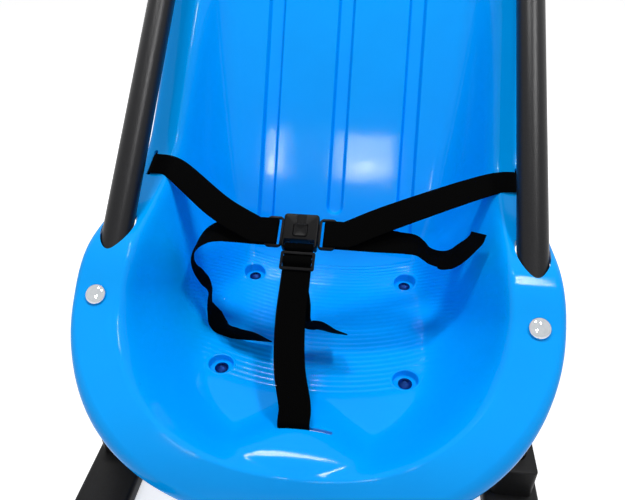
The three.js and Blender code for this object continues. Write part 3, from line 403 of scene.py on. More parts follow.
def circle(radius, height, sides=48):
    """A ring about z. The radius and the height may change from point to point."""
    turns = np.arange(sides) * tau / sides
    return np.stack([radius * np.cos(turns), radius * np.sin(turns), np.broadcast_to(height, sides)], 1)


def lathed(profile, sides=48, closed=False):
    """A turned piece about z from (radius, height) pairs; a closed profile makes a ring."""
    rings = [circle(r, z, sides) for r, z in profile]
    return loft(rings + rings[:1] if closed else rings, caps=not closed)


def rod(name, matrix, radius, low, high, sides=48):
    return solid(name, matrix, lathed([(radius, low), (radius, high)], sides))


print("a turned cylinder has", len(lathed([(1, 0), (1, 1)])[1]), "faces")


# %% Slabs and blocks
def raised(flat, z):
    return np.column_stack([flat, np.full(len(flat), z)])


def slab(outline, thickness, rounding, steps=4):
    """A flat outline made thick along z, with both rims rounded."""
    outline = np.asarray(outline, float)
    along = np.roll(outline, -1, 0) - np.roll(outline, 1, 0)
    out = unit(np.stack([along[:, 1], -along[:, 0]], 1))
    rings = []
    for side in (-1, 1):
        for k in range(steps + 1):
            share = radians(90 * (k if side < 0 else steps - k) / steps)
            z = side * (thickness / 2 - rounding * (1 - cos(share)))
            rings.append(raised(outline - out * rounding * (1 - sin(share)), z))
    return loft(rings)


def soft_rectangle(width, height, corner, steps=7):
    """The outline of a rectangle with round corners, anticlockwise."""
    points = []
    for quarter, (x, y) in enumerate(((1, 1), (-1, 1), (-1, -1), (1, -1))):
        for k in range(steps + 1):
            turn = radians(90 * (quarter + k / steps))
            points.append((x * (width / 2 - corner) + corner * cos(turn),
                           y * (height / 2 - corner) + corner * sin(turn)))
    return points


def block(name, matrix, width, height, thickness, corner, rounding):
    return solid(name, matrix, slab(soft_rectangle(width, height, corner), thickness, rounding))


def carved(made, *tools, how="DIFFERENCE", sharp=40):
    """The piece with tools cut out of it, or joined to it; the tools are used up."""
    for tool in tools:
        step = made.modifiers.new(tool.name, "BOOLEAN")
        step.operation, step.object, step.solver = how, tool, "MANIFOLD"
    depsgraph = bpy.context.evaluated_depsgraph_get()
    result = bpy.data.meshes.new_from_object(made.evaluated_get(depsgraph))
    made.modifiers.clear()
    old, made.data = made.data, result
    bpy.data.meshes.remove(old)
    result.name = made.name
    for tool in tools:
        bpy.data.meshes.remove(tool.data)
    return smoothed(made, sharp)


print("a block's outline has", len(soft_rectangle(2, 2, 0.5)), "points")

# %% [markdown]
# ## The seat's surface
#
# The moulded seat is one height h over the plane of x and w. A level pan, a back, a front shelf
# with a crotch hump and steep side walls meet in rounded creases, and the walls run out on a flat
# rim. The same rounded minimum and maximum makes every crease, as a toolmaker's ball cutter would.
# Three long grooves stiffen the back, and fine ribs in the hip hollow keep the child from sliding.

# %% Rounded creases
def ramp(start, end, at_place):
    share = np.clip((at_place - start) / (end - start), 0, 1)
    return share * share * (3 - 2 * share)


def lower(a, b, fillet):
    """The lower of two heights, with their crossing rounded."""
    overlap = np.clip(fillet - np.abs(a - b), 0, None)
    return np.minimum(a, b) - overlap ** 2 / (4 * fillet)


def higher(a, b, fillet):
    return -lower(-a, -b, fillet)


def eased(t, start, end, leaving, arriving):
    """A cubic from start to end that leaves and arrives with the given slopes."""
    return ((1 + 2 * t) * (1 - t) ** 2 * start + t * (1 - t) ** 2 * leaving
            + t * t * (3 - 2 * t) * end - t * t * (1 - t) * arriving)


print("a fillet of 16 takes", -lower(0, 0, 16), "mm off a crossing")

# %% Rim line
RIM_W = (-168, -147, -127, -107, -87, -47, -14, 30, 68, 113, 148, 278, 440)
RIM_H = (36, 44, 47, 45, 38, 16, 0, -17, -58, -101, -118, -146, -172)


def rim_line(w):
    """Height of the rim from the front lip to the top of the back: a smooth curve."""
    ws, hs = np.array(RIM_W, float), np.array(RIM_H, float)
    last = len(ws) - 1
    before, after = np.clip(np.arange(last + 1) - 1, 0, last), np.clip(np.arange(last + 1) + 1, 0, last)
    slope = (hs[after] - hs[before]) / (ws[after] - ws[before])
    w = np.clip(w, ws[0], ws[-1])
    i = np.clip(np.searchsorted(ws, w) - 1, 0, last - 1)
    span = ws[i + 1] - ws[i]
    return eased((w - ws[i]) / span, hs[i], hs[i + 1], span * slope[i], span * slope[i + 1])


print("the rim falls from", round(float(rim_line(-127))), "to", round(float(rim_line(440))), "mm")

# %% Grooves and ribs
OPENING, OPENING_REACH, OPENING_ARCH, SIDE = 151, 122, 96, 300
GROOVES = ((0, 78), (-76, 52), (76, 52))
GROOVE_END, GROOVE_HALF, GROOVE_WALL, GROOVE_DEPTH = 338, 9.5, 3.4, 6
RIB_PITCH, RIB_DEPTH, RIB_BOW, DISH_HALF = 3.3, 0.75, 18, 110


def opening_share(x, w):
    """How far out a place lies: 1 where the walls meet the rim."""
    front, top = np.minimum(w, 0) / OPENING_REACH, np.maximum(w - SIDE, 0) / OPENING_ARCH
    return np.hypot(x / OPENING, front + top)


def grooved(x, w):
    """1 on a groove's floor, 0 outside, with steep rounded walls."""
    deepest = np.zeros_like(x)
    for middle, start in GROOVES:
        beyond = np.minimum(w - start - GROOVE_HALF, 0) + np.maximum(w - GROOVE_END + GROOVE_HALF, 0)
        wall = ramp(GROOVE_HALF - GROOVE_WALL, GROOVE_HALF, np.hypot(x - middle, beyond))
        deepest = np.maximum(deepest, 1 - wall)
    return deepest


def ribbed(x, w):
    """Depth of the fine ribs, which bow upwards towards the sides and fade out at the walls."""
    s = w - RIB_BOW * (np.abs(x) / DISH_HALF) ** 2.2
    fade = ramp(-84, -80, s) * (1 - ramp(20, 24, s)) * (1 - ramp(0.78, 0.86, opening_share(x, w)))
    return RIB_DEPTH * fade * (0.5 - 0.5 * np.cos(tau * s / RIB_PITCH))


print(len(GROOVES), "grooves and", round(104 / RIB_PITCH), "ribs")

# %% Surface heights
PAN_HEIGHT, PAN_FALL, PAN_DISH = -90, 11, 6
BACK_HEIGHT, BACK_LEAN, BACK_DISH = -203, 0.045, 8
SHELF_W, SHELF_HEIGHT, SHELF_SLOPE = -97, 7, 1.737
FOOT_W, FOOT_BULGE, FOOT_HALF = -112, 24, 46
LIP_DIP, LIP_DIP_HALF = 8, 62


def seat_height(x, w, ribs=True):
    dish = (np.abs(x) / DISH_HALF) ** 3
    level = PAN_DISH * dish * ramp(60, 0, w) + PAN_HEIGHT - PAN_FALL * ramp(-60, 10, w)
    pan = (level - w * cos(SEAT_TILT)) / sin(SEAT_TILT)
    back = BACK_LEAN * w + BACK_HEIGHT + BACK_DISH * dish
    foot = FOOT_W + FOOT_BULGE * np.exp(-(x / FOOT_HALF) ** 2)
    shelf = SHELF_HEIGHT - (w - SHELF_W) * SHELF_SLOPE
    floor = higher(higher(pan, back, 40), lower(shelf, pan + 3 * (foot - w), 14), 14)
    steepness = 3.4 + 2.4 * ramp(-40, -105, w) - 0.8 * ramp(60, 150, w)
    rim = rim_line(w) - LIP_DIP * np.exp(-(x / LIP_DIP_HALF) ** 2) * ramp(-60, -130, w)
    wall = rim + (opening_share(x, w) - 1) * OPENING * steepness
    roll = 16 + 14 * ramp(-20, -90, w)
    height = lower(higher(floor, wall, 50 - 28 * ramp(-20, -105, w)), rim, roll)
    height = height - GROOVE_DEPTH * grooved(x, w)
    return height - ribbed(x, w) if ribs else height


print("the pan lies", round(float(seat_height(np.zeros(1), np.zeros(1), False)[0])), "mm deep")

# %% [markdown]
# ## The seat shell
#
# A grid of rows and columns covers the pan and the back. Its rows lie 0.55 mm apart where the ribs
# are and its columns crowd at the groove walls. From its border, rings of points run up the walls
# to the rounded rim, over the turned-down skirt with its bead, and back under the shell, 3 mm
# below the upper skin. That gives one closed body whose wall is as thick as a real moulding. The
# edge is rounder at the front, where legs slide over it, and the bead fades out along the back.

# %% Outline of the seat
BOWL, BACK, NARROWED, REACH, ARCH = 197, 184, 113, 168, 130


def half_width(w):
    return BACK + (BOWL - BACK) * (1 - ramp(0, NARROWED, w))


def crossed_outline(x, w):
    """Where the ray from the middle line through (x, w) meets the outline, and the way out there."""
    foot = np.clip(w, 0, SIDE)
    out_x, out_w = x, w - foot
    wide, deep = np.where(w < 0, BOWL, BACK), np.where(w < 0, REACH, ARCH)
    reach = 1 / np.maximum(np.hypot(out_x / wide, out_w / deep), 1e-9)
    edge_x, edge_w = out_x * reach, foot + out_w * reach
    normal_x, normal_w = edge_x / wide ** 2, (edge_w - foot) / deep ** 2
    straight = (w >= 0) & (w <= SIDE)
    edge_x = np.where(straight, np.sign(x) * half_width(w), edge_x)
    edge_w = np.where(straight, w, edge_w)
    normal_x = np.where(straight, np.sign(x), normal_x)
    normal_w = np.where(straight, (half_width(w) - half_width(w + 0.5)) / 0.5, normal_w)
    length = np.hypot(normal_x, normal_w)
    return foot, edge_x, edge_w, normal_x / length, normal_w / length


print("the bowl is", 2 * BOWL, "mm wide and the back", 2 * BACK, "mm")

# %% Edge and skirt
WALL, SKIRT, BEAD, BEAD_LEFT, BEAD_THICK = 3, 8, 2.4, 0.3, 2.6


def skirt_section(out, down, bead):
    """The rounded edge, skirt, bead and inner skirt, as (outward, height) steps."""
    section = [(out * sin(a), down * (cos(a) - 1)) for a in np.radians(np.arange(9, 91, 9))]
    section += [(out, -down - 3.2), (out - 0.5, -down - 3.7), (out - 0.5, -down - 4.3), (out, -down - 4.8)]
    foot = -down - SKIRT
    section += [(out, foot + 0.8), (out + 0.1 * bead, foot + 0.2), (out + bead / 3, foot),
                (out + bead / 1.5, foot), (out + 0.92 * bead, foot - 0.2), (out + bead, foot - 0.8),
                (out + bead, foot - 1.8), (out + 0.9 * bead, foot - 2.4),
                (out + bead / 1.5, foot - BEAD_THICK), (out - WALL + 0.5, foot - BEAD_THICK),
                (out - WALL, foot - 2), (out - WALL, -down)]
    section += [((out - WALL) * sin(a), (down - WALL) * (cos(a) - 1) - WALL)
                for a in np.radians(np.arange(72, 0, -18))]
    return section


def underside(x, w):
    """The lower skin, one wall thickness behind the upper one."""
    step = 0.5
    height = seat_height(x, w, False)
    slope_x = (seat_height(x + step, w, False) - seat_height(x - step, w, False)) / (2 * step)
    slope_w = (seat_height(x, w + step, False) - seat_height(x, w - step, False)) / (2 * step)
    return np.stack([x, w, height], 1) - WALL * unit(np.stack([-slope_x, -slope_w, np.ones_like(x)], 1))


print("the skirt has", len(skirt_section(7, 7, BEAD)), "steps")

# %% Shell mesh
GRID_HALF, GRID_SHARE = 118, 0.87
FRONT_EDGE, BACK_EDGE = (14, 10), (7, 7)


def shell_grid():
    """Rows and columns over the pan and the back, as x and w."""
    rows = np.concatenate([np.arange(-84, 24, 0.55), np.arange(24, 100, 1.0), np.arange(100, 326, 3.0),
                           np.arange(326, 345.5, 1.0)])
    walls = [middle + side * (GROOVE_HALF - step) for middle, _ in GROOVES for side in (-1, 1)
             for step in np.arange(0, 4.1, 0.5)]
    columns = np.unique(np.round(np.concatenate([np.arange(-GRID_HALF, GRID_HALF + 0.1, 2.0), walls]), 2))
    front = np.minimum(rows, 0) / OPENING_REACH + np.maximum(rows - SIDE, 0) / OPENING_ARCH
    half = np.minimum(GRID_HALF, OPENING * np.sqrt(GRID_SHARE ** 2 - front ** 2))
    return columns[None, :] * half[:, None] / GRID_HALF, np.repeat(rows[:, None], len(columns), 1)


def edge_rings(qx, qw, out_x, out_w, top, share, bead):
    """Rings over the edge; share is 1 at the front, and the bead shrinks along the back."""
    rings = []
    fade = (bead - BEAD_LEFT) / (BEAD - BEAD_LEFT)
    front, back = skirt_section(*FRONT_EDGE, BEAD), skirt_section(*BACK_EDGE, BEAD)
    for (far, low), (near, high), (flush, _) in zip(front, back, skirt_section(*BACK_EDGE, BEAD_LEFT)):
        near = flush + (near - flush) * fade
        outward, height = near + (far - near) * share, high + (low - high) * share
        rings.append(np.stack([qx + out_x * outward, qw + out_w * outward, top + height], 1))
    return rings


def shell_mesh():
    x, w = shell_grid()
    high, wide = x.shape
    index = np.arange(high * wide).reshape(high, wide)
    points = [np.stack([x, w, seat_height(x, w)], -1).reshape(-1, 3)]
    faces = [np.stack([index[:-1, :-1], index[:-1, 1:], index[1:, 1:], index[1:, :-1]], -1).reshape(-1, 4)]
    border = np.concatenate([index[0], index[1:, -1], index[-1, -2::-1], index[-2:0:-1, 0]])
    bx, bw = points[0][border, 0], points[0][border, 1]
    foot, edge_x, edge_w, out_x, out_w = crossed_outline(bx, bw)
    share = ramp(-20, -120, edge_w)
    bead = BEAD - (BEAD - BEAD_LEFT) * ramp(10, 90, edge_w)
    inset = BACK_EDGE[0] + (FRONT_EDGE[0] - BACK_EDGE[0]) * share + bead
    qx, qw = edge_x - out_x * inset, edge_w - out_w * inset
    rings = []
    for s in np.linspace(0, 1, 59)[1:]:
        px, pw = bx + (qx - bx) * s, bw + (qw - bw) * s
        rings.append(np.stack([px, pw, seat_height(px, pw)], 1))
    rings += edge_rings(qx, qw, out_x, out_w, rings[-1][:, 2], share, bead)
    for s in np.concatenate([np.linspace(0.985, 0.6, 22), np.linspace(0.57, 0, 14)]):
        rings.append(underside(qx * s, foot + (qw - foot) * s))
    count = len(border)
    ring_index = [border] + [high * wide + k * count + np.arange(count) for k in range(len(rings))]
    for inner, outer in zip(ring_index[:-1], ring_index[1:]):
        faces.append(np.stack([inner, outer, np.roll(outer, -1), np.roll(inner, -1)], -1))
    return np.vstack(points + rings), np.vstack(faces)


shell = solid("seat_shell_moulding", SEAT, shell_mesh(), sharp=55)
print("shell mesh", len(shell.data.polygons), "faces")

# %% [markdown]
# ## Holes, slots and screw pockets
#
# The mould leaves a hole for each leg of the push bar, a slot for each strap, a shallow seat for
# each chrome head and four recesses in the pan, where screws hold the seat on the arches. The holes
# are cut with exact solids. Each recess is a turned cup whose rolled lip follows the skin round it.

# %% Places on the seat
LEG_HALF, HEAD_SEAT = 173, 22.22 - 4.2
SLOT_HALF, SLOT_W, SLOT_STEP = 172, 113, 15
CROTCH_SLOT = Matrix.Translation(SEAT @ Vector((-0.75, SHELF_W, SHELF_HEIGHT))) @ GROUND
SCREW_HALF = 80.5
POCKETS = [(side * SCREW_HALF, w, name) for w, row in ((-67, "front"), (10, "rear"))
           for side, name in ((-1, f"{row}_left"), (1, f"{row}_right"))]
SIDES = ((-1, "left"), (1, "right"))


def hip_slot(side):
    """The frame of a hip slot: y along the slot, z out of the rim."""
    fall = float(rim_line(SLOT_W + SLOT_STEP) - rim_line(SLOT_W - SLOT_STEP))
    there = at(SEAT, side * SLOT_HALF, SLOT_W, float(rim_line(SLOT_W)))
    return there @ Matrix.Rotation(atan2(fall, 2 * SLOT_STEP), 4, "X")


def upright(x, w):
    """An upright frame on the seat's surface."""
    height = float(seat_height(np.array([float(x)]), np.array([float(w)]), False)[0])
    return Matrix.Translation(SEAT @ Vector((x, w, height))) @ GROUND


print("hip slots at", [round(v, 3) for v in hip_slot(1).translation])

# %% Carving the shell
POCKET_RADIUS, POCKET_DEPTH, CUP_DEPTH, CUP_WALL = 10.75, 6, 12, 2.5
BOLT_HOLE, LEG_HOLE, HEAD_RING, SLOT_WIDTH = 3.3, 13.7, 9.1, 3.6
cutters = []
for side, _ in SIDES:
    leg = at(BAR, side * LEG_HALF)
    cutters.append(rod("leg_cut", facing(leg, "X", -90), LEG_HOLE, -34, 226, 72))
    cutters.append(rod("bolt_cut", leg, BOLT_HOLE, 0, HEAD_SEAT, 24))
    cutters.append(rod("head_cut", leg, HEAD_RING, HEAD_SEAT - 0.9, 32, 64))
    cutters.append(block("slot_cut", at(hip_slot(side), 0, -1.5), SLOT_WIDTH, 33, 24, 1.5, 0.2))
cutters.append(block("slot_cut", at(CROTCH_SLOT, 4.2), 42, SLOT_WIDTH, 24, 1.5, 0.2))
for x, w, _ in POCKETS:
    cutters.append(rod("pocket_cut", upright(x, w), POCKET_RADIUS + 0.9, -CUP_DEPTH, 12, 64))
finished(carved(shell, *cutters, sharp=55), polyethylene, "sled", "seat_shell")
print("carved shell", len(shell.data.polygons), "faces")


# %% Screw pockets
def skin_height(matrix, x, y):
    """Height of the seat's skin over an upright frame, found by halving along w."""
    target = y + matrix.translation.y / MM
    low, high = np.full_like(x, -84.0), np.full_like(x, 60.0)
    for _ in range(30):
        w = (low + high) / 2
        h = seat_height(x, w, False)
        there = w * sin(SEAT_TILT) - h * cos(SEAT_TILT) + ORIGIN[1]
        low, high = np.where(there < target, w, low), np.where(there < target, high, w)
    return w * cos(SEAT_TILT) + h * sin(SEAT_TILT) + ORIGIN[2] - matrix.translation.z / MM


def pocket_cup(x, w, name):
    """A cup with a flat floor, a screw hole and a rolled lip on the seat's skin."""
    matrix, outer, sides = upright(x, w), POCKET_RADIUS + CUP_WALL, 64
    fixed = [(BOLT_HOLE, -CUP_DEPTH), (BOLT_HOLE, -POCKET_DEPTH), (9.6, -POCKET_DEPTH),
             (10.4, -POCKET_DEPTH + 0.25), (POCKET_RADIUS, -POCKET_DEPTH + 1.1)]
    lip = [(POCKET_RADIUS, -1.2), (10.85, -0.5), (11.2, -0.08), (11.8, 0.1), (12.5, 0.06), (13.0, -0.12),
           (outer, -0.5), (outer, -2.0)]
    rings = [circle(r, z, sides) for r, z in fixed]
    for r, z in lip:
        px, py = circle(r, 0, sides)[:, :2].T
        skin = skin_height(matrix, px + matrix.translation.x / MM, py)
        rings.append(circle(r, np.maximum(skin + z, -CUP_DEPTH + 1), sides))
    rings.append(circle(outer, -CUP_DEPTH, sides))
    cup = solid(f"pocket_cup_{name}", matrix, loft(rings + rings[:1], caps=False), sharp=50)
    return finished(cup, polyethylene, "sled")


for x, w, name in POCKETS:
    pocket_cup(x, w, name)

# %% [markdown]
# ## Push bar and arches
#
# Both are steel tubes bent cold round a former, so their section stays round along straight legs
# and true arcs. A ring of points is swept along the path, once for the skin and once for the bore.

# %% Tubes
BAR_RADIUS, BAR_WALL, BAR_TAIL, BAR_LENGTH, BAR_BEND = 12.5, 1.3, -34, 845, 70


def bow(half, start, end, bend, steps=14):
    """Two legs along y, two bends and a crosspiece, as points in the XY plane."""
    legs = [(-half, start + (end - bend - start) * k / 12) for k in range(12)]
    arc = [(bend - half - bend * cos(a), end - bend + bend * sin(a))
           for a in np.radians(np.linspace(0, 90, steps))]
    middle = [(x, end) for x in np.linspace(bend - half, half - bend, 9)[1:-1]]
    return [(x, y, 0) for x, y in legs + arc + middle + [(-x, y) for x, y in (legs + arc)[::-1]]]


def tube(name, matrix, path, radius, wall, sides=48):
    """A hollow tube along a path in the XY plane."""
    path = np.array(path, float)
    along = unit(np.gradient(path, axis=0))
    outward = np.stack([along[:, 1], -along[:, 0], np.zeros(len(path))], 1)
    turns = np.arange(sides) * tau / sides

    def rings(r):
        return [p + r * (np.outer(np.cos(turns), o) + np.outer(np.sin(turns), (0, 0, 1)))
                for p, o in zip(path, outward)]

    skin, bore = rings(radius), rings(radius - wall)[::-1]
    return solid(name, matrix, loft(skin + bore + skin[:1], caps=False))


bar = tube("push_bar_tube", BAR, bow(LEG_HALF, BAR_TAIL, BAR_LENGTH, BAR_BEND), BAR_RADIUS, BAR_WALL, 64)
carved(bar, *[rod("bolt_cut", at(BAR, side * LEG_HALF), BOLT_HOLE, -25, 25, 24) for side, _ in SIDES])
finished(bar, powder_coat, "sled", "push_bar")


# %% Grip and plugs
def foam_grip():
    """A foam sleeve with rounded ends, a little proud between shallow finger rings."""
    length = np.linspace(-95, 95, 191)
    skin = 16.25 - 0.3 * (0.5 + 0.5 * np.cos(tau * length / 19.0)) ** 6
    profile = [(12.8, -98), (13.6, -98), (15.0, -97.6), (15.9, -96.6), *zip(skin, length), (15.9, 96.6),
               (15.0, 97.6), (13.6, 98), (12.8, 98)]
    return solid("bar_foam_grip", facing(at(BAR, 0, BAR_LENGTH), "Y", 90), lathed(profile, 64, closed=True))


def bar_plug(side, name):
    """An end plug: a flange with a rounded rim, and a stem with three gripping fins."""
    profile = [(0, -2.8), (11.5, -2.8), (12.3, -2.4), (12.5, -1.8), (12.5, -0.3), (10.6, -0.3)]
    for fin in (3, 6.5, 10):
        profile += [(10.2, fin - 1), (10.9, fin), (10.2, fin + 0.4)]
    there = facing(at(BAR, side * LEG_HALF, BAR_TAIL), "X", -90)
    plug = solid(f"bar_plug_{name}_fins", there, lathed(profile + [(10.2, 13), (9.4, 14), (0, 14)]))
    finished(plug, nylon, "sled", f"bar_plug_{name}")


finished(foam_grip(), foam, "sled", "bar_grip")
for side, name in SIDES:
    bar_plug(side, name)

# %% [markdown]
# ## Bolts, screws and nuts
#
# The two chrome heads on the rim are carriage bolts: a plain dome with a short cylindrical edge.
# The others are button-head screws with a hexagon socket. Nuts are hexagons whose corners are
# turned off at both ends. All of them are profiles turned round an axis.

# %% Heads
def hexagon(across_flats, turns):
    return across_flats / 2 / np.cos((turns + pi / 6) % (pi / 3) - pi / 6)


def shank(length):
    return [(0, -length), (2.6, -length), (3.0, -length + 0.5), (3.0, 0)]


def dome(radius, height, steps=10):
    """A domed head with a short rounded edge, from the rim to the crown."""
    crown = height - 0.9
    reach = (radius ** 2 + crown ** 2) / (2 * crown)
    arc = [(reach * sin(a), height - reach * (1 - cos(a)))
           for a in np.linspace(asin(radius / reach), 0, steps + 1)[1:]]
    return [(radius - 0.5, 0), (radius - 0.1, 0.15), (radius, 0.5), (radius, 0.9)] + arc


def carriage_bolt(name, matrix, radius, height, length):
    profile = shank(length) + dome(radius, height)[:-1] + [(0, height)]
    return solid(name, matrix, lathed(profile, 64), sharp=50)


def socket_screw(name, matrix, radius, height, length, socket=4.0):
    """A button head with a hexagon socket, on a round shank."""
    flats = hexagon(socket, np.arange(48) * tau / 48)
    profile = shank(length) + [step for step in dome(radius, height) if step[0] > socket / 2 + 0.8]
    profile += [(flats + 0.3, height - 0.15), (flats, height - 0.45), (flats, height - 2), (0, height - 2.6)]
    return solid(name, matrix, lathed(profile))


def hex_nut(name, matrix, height=5.0, across=10.0, hole=3.2):
    """A nut that hangs below z = 0, with chamfered corners."""
    flats = hexagon(across, np.arange(72) * tau / 72)
    turned = np.minimum(flats, across / 2 + 0.05)
    profile = [(hole, 0), (turned, 0), (flats, -0.5), (flats, 0.5 - height), (turned, -height),
               (hole + 0.4, -height), (hole, 0.4 - height)]
    return solid(name, matrix, lathed(profile, 72, closed=True), sharp=25)


print("a nut is", round(2 * float(hexagon(10.0, np.array([pi / 6]))[0]), 2), "mm over its corners")


# %% Rim bolts and pan screws
def node_height(name, end):
    """Height of the lowest (0) or highest (1) end of a CAD node in millimetres."""
    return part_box(name)[end][2] / MM


for side, name in SIDES:
    leg = at(BAR, side * LEG_HALF)
    head = carriage_bolt(f"rim_bolt_{name}_dome", at(leg, z=HEAD_SEAT), 8.3, 4.2, HEAD_SEAT + 19.8)
    finished(head, chrome, "sled", f"rim_bolt_{name}")
    finished(hex_nut(f"rim_nut_{name}_hex", at(leg, z=-12.8)), zinc, "sled", f"rim_nut_{name}")

for x, w, name in POCKETS:
    base = upright(x, w)
    low = node_height(f"pan_screw_{name}", 0) - base.translation.z / MM
    floor = 0.3 - POCKET_DEPTH
    screw = socket_screw(f"pan_screw_{name}_button", at(base, z=floor), 6, 3.6, floor - low)
    # The button heads take the zinc whose dark blue is painted shade of the recesses.
    finished(screw, shade_dark_zinc, "sled", f"pan_screw_{name}")
    nut_top = node_height(f"pan_nut_{name}", 1) - base.translation.z / MM
    finished(hex_nut(f"pan_nut_{name}_hex", at(base, z=nut_top)), zinc, "sled", f"pan_nut_{name}")

# %% Arches
SKI_HALF, SKI_TOP, AXLE = 185, 17.9, 19
ARCH_Y = {"front": -132.689, "rear": 13.739}
ARCH_RADIUS, ARCH_WALL, ARCH_BEND = 10, 1.5, 48


def bolt_cut(axle):
    """The hole for a bolt that crosses a ski's socket and the foot of an arch."""
    return rod("bolt_cut", facing(axle, "Y", 90), BOLT_HOLE, -36, 36, 24)


for row, y in ARCH_Y.items():
    crown = node_height(f"arch_{row}", 1)
    standing = facing(at(GROUND, 0, y), "X", 90)
    path = bow(SKI_HALF, SKI_TOP + 3, crown - ARCH_RADIUS, ARCH_BEND)
    arch = tube(f"arch_{row}_tube", standing, path, ARCH_RADIUS, ARCH_WALL)
    tools = [rod("screw_cut", at(GROUND, side * SCREW_HALF, y), BOLT_HOLE, crown - 30, crown + 12, 24)
             for side, _ in SIDES]
    tools += [bolt_cut(at(standing, side * SKI_HALF, SKI_TOP + AXLE)) for side, _ in SIDES]
    finished(carved(arch, *tools), powder_coat, "sled", f"arch_{row}")

# %% [markdown]
# ## Skis
#
# Each ski is one moulding: a runner with a turned-up tip, rounded all along its edges, and two
# sockets that hold the feet of the arches. A steel strip is let into the sole.

# %% Side view of a ski
SKI_FRONT, SKI_REAR, TIP_RADIUS, TIP_TURN = -403.053, 250.947, 190, 44
SOLE, SKI_THICK, SOCKET_HALF = 0.9, 17, 18.3


def ski_outline():
    """Side view as (along, up): sole, chamfered tail, top, tip and round nose."""
    centre, middle = SOLE + TIP_RADIUS, TIP_RADIUS - SKI_THICK / 2
    down, tip = radians(-90), radians(-90 - TIP_TURN)
    nose = (SKI_FRONT + middle * cos(tip), centre + middle * sin(tip))

    def arc(c, r, first, last, steps):
        return [(c[0] + r * cos(a), c[1] + r * sin(a)) for a in np.linspace(first, last, steps)]

    points = [(SKI_FRONT + (SKI_REAR - 8 - SKI_FRONT) * k / 12, SOLE) for k in range(1, 13)]
    points += [(SKI_REAR - 4, SOLE + 4), (SKI_REAR, SOLE + 8), (SKI_REAR, SKI_TOP)]
    points += [(SKI_REAR + (SKI_FRONT - SKI_REAR) * k / 12, SKI_TOP) for k in range(1, 12)]
    points += arc((SKI_FRONT, centre), TIP_RADIUS - SKI_THICK, down, tip, 22)
    points += arc(nose, SKI_THICK / 2, tip + pi, tip + tau, 14)[1:-1]
    return points + arc((SKI_FRONT, centre), TIP_RADIUS, tip, down, 22)


print("the tip rises to", round(max(up for _, up in ski_outline())), "mm")


# %% Skis
def socket_bolts(ski_frame, side, name):
    """A screw from outside and a nut inside hold the foot of each arch."""
    for row, y in ARCH_Y.items():
        outer, inner = (facing(at(ski_frame, x, y, SKI_TOP + AXLE), "Y", 90 * side)
                        for x in (side * SOCKET_HALF, -side * SOCKET_HALF))
        bolt = socket_screw(f"socket_bolt_{row}_{name}_button", outer, 5, 3, 43.6, 3.2)
        finished(bolt, zinc, "sled", f"socket_bolt_{row}_{name}")
        finished(hex_nut(f"socket_nut_{row}_{name}_hex", inner), zinc, "sled", f"socket_nut_{row}_{name}")


def ski(side, name):
    along_up = Matrix(((0, 0, MM, side * SKI_HALF * MM), (MM, 0, 0, 0), (0, MM, 0, 0), (0, 0, 0, 1)))
    runner = solid(f"ski_{name}_runner", along_up, slab(ski_outline(), 50, 4, steps=6), sharp=35)
    ski_frame = at(GROUND, side * SKI_HALF)
    sockets = [block("socket", at(ski_frame, 0, y, SKI_TOP + 15.5), 36, 46, 37, 4, 1.5)
               for y in ARCH_Y.values()]
    carved(runner, *sockets, how="UNION", sharp=35)
    tools = []
    for y in ARCH_Y.values():
        tools.append(rod("foot_cut", at(ski_frame, 0, y), 10.66, SKI_TOP + 2.7, SKI_TOP + 50))
        tools.append(bolt_cut(at(ski_frame, 0, y, SKI_TOP + AXLE)))
    strip_frame = at(ski_frame, 0, (SKI_FRONT + SKI_REAR) / 2, -1.65)
    tools.append(block("strip_cut", strip_frame, 12.6, 606.6, 8.7, 0.3, 0.1))
    for y in (SKI_FRONT + 54, SKI_REAR - 54):
        tools.append(rod("screw_cut", at(ski_frame, 0, y), 2.3, -3, 13.2, 24))
    finished(carved(runner, *tools, sharp=35), ski_plastic, "sled", f"ski_{name}")
    socket_bolts(ski_frame, side, name)


for side, name in SIDES:
    ski(side, name)

# %% [markdown]
# ## Buckle, tongues and slide
#
# The buckle is a small moulded box with a square button in a well, and a channel that runs from the
# button to the top edge. Two flat tongues plug into its sides. Each has a window, and the webbing
# turns round the bar outside it. Below, a slide with two windows sets the length of the crotch
# strap. Their faces are lightly crowned, as moulded faces are, so that a lamp fades across them.

# %% Crowned mouldings
def crowned(name, matrix, width, height, thickness, corner, rounding, crown):
    """A soft rectangle with rounded rims and an upper face that rises by crown in the middle."""
    rings = []
    steps = np.radians(np.linspace(0, 90, 6))
    for side in (-1, 1):
        for a in steps if side < 0 else steps[::-1]:
            inset = rounding * (1 - sin(a))
            flat = soft_rectangle(width - 2 * inset, height - 2 * inset, max(corner - inset, 0.05))
            rings.append(raised(flat, side * (thickness / 2 - rounding * (1 - cos(a)))))
    face = np.array(soft_rectangle(width - 2 * rounding, height - 2 * rounding, 1.6))
    for share in (0.9, 0.75, 0.6, 0.4, 0.2, 0.0):
        rings.append(raised(face * share, thickness / 2 + crown * (1 - share ** 2)))
    return solid(name, matrix, loft(rings), sharp=35)


housing = crowned("buckle_housing_shell", HARNESS, 31, 33, 11, 3, 1.2, 0.5)
cuts = [block("well", at(HARNESS, 0, 0, 6.1), 13, 13, 15, 2.4, 0.1),
        block("channel", at(HARNESS, 0, 12, 6.7), 8.4, 14, 4, 1.2, 0.3)]
cuts += [block("blade_cut", at(HARNESS, x), 10, 18.6, 3.6, 0.4, 0.1) for x in (-13.2, 13.2)]
cuts.append(block("strap_cut", at(HARNESS, 0, -10.8), 27, 4.2, 20, 1, 0.2))
cuts += [block("thin_cut", at(HARNESS, 0, -15, z), 27, 8.6, 10, 1, 0.9) for z in (6.8, -6.8)]
finished(carved(housing, *cuts, sharp=35), nylon, "sled", "buckle_housing")

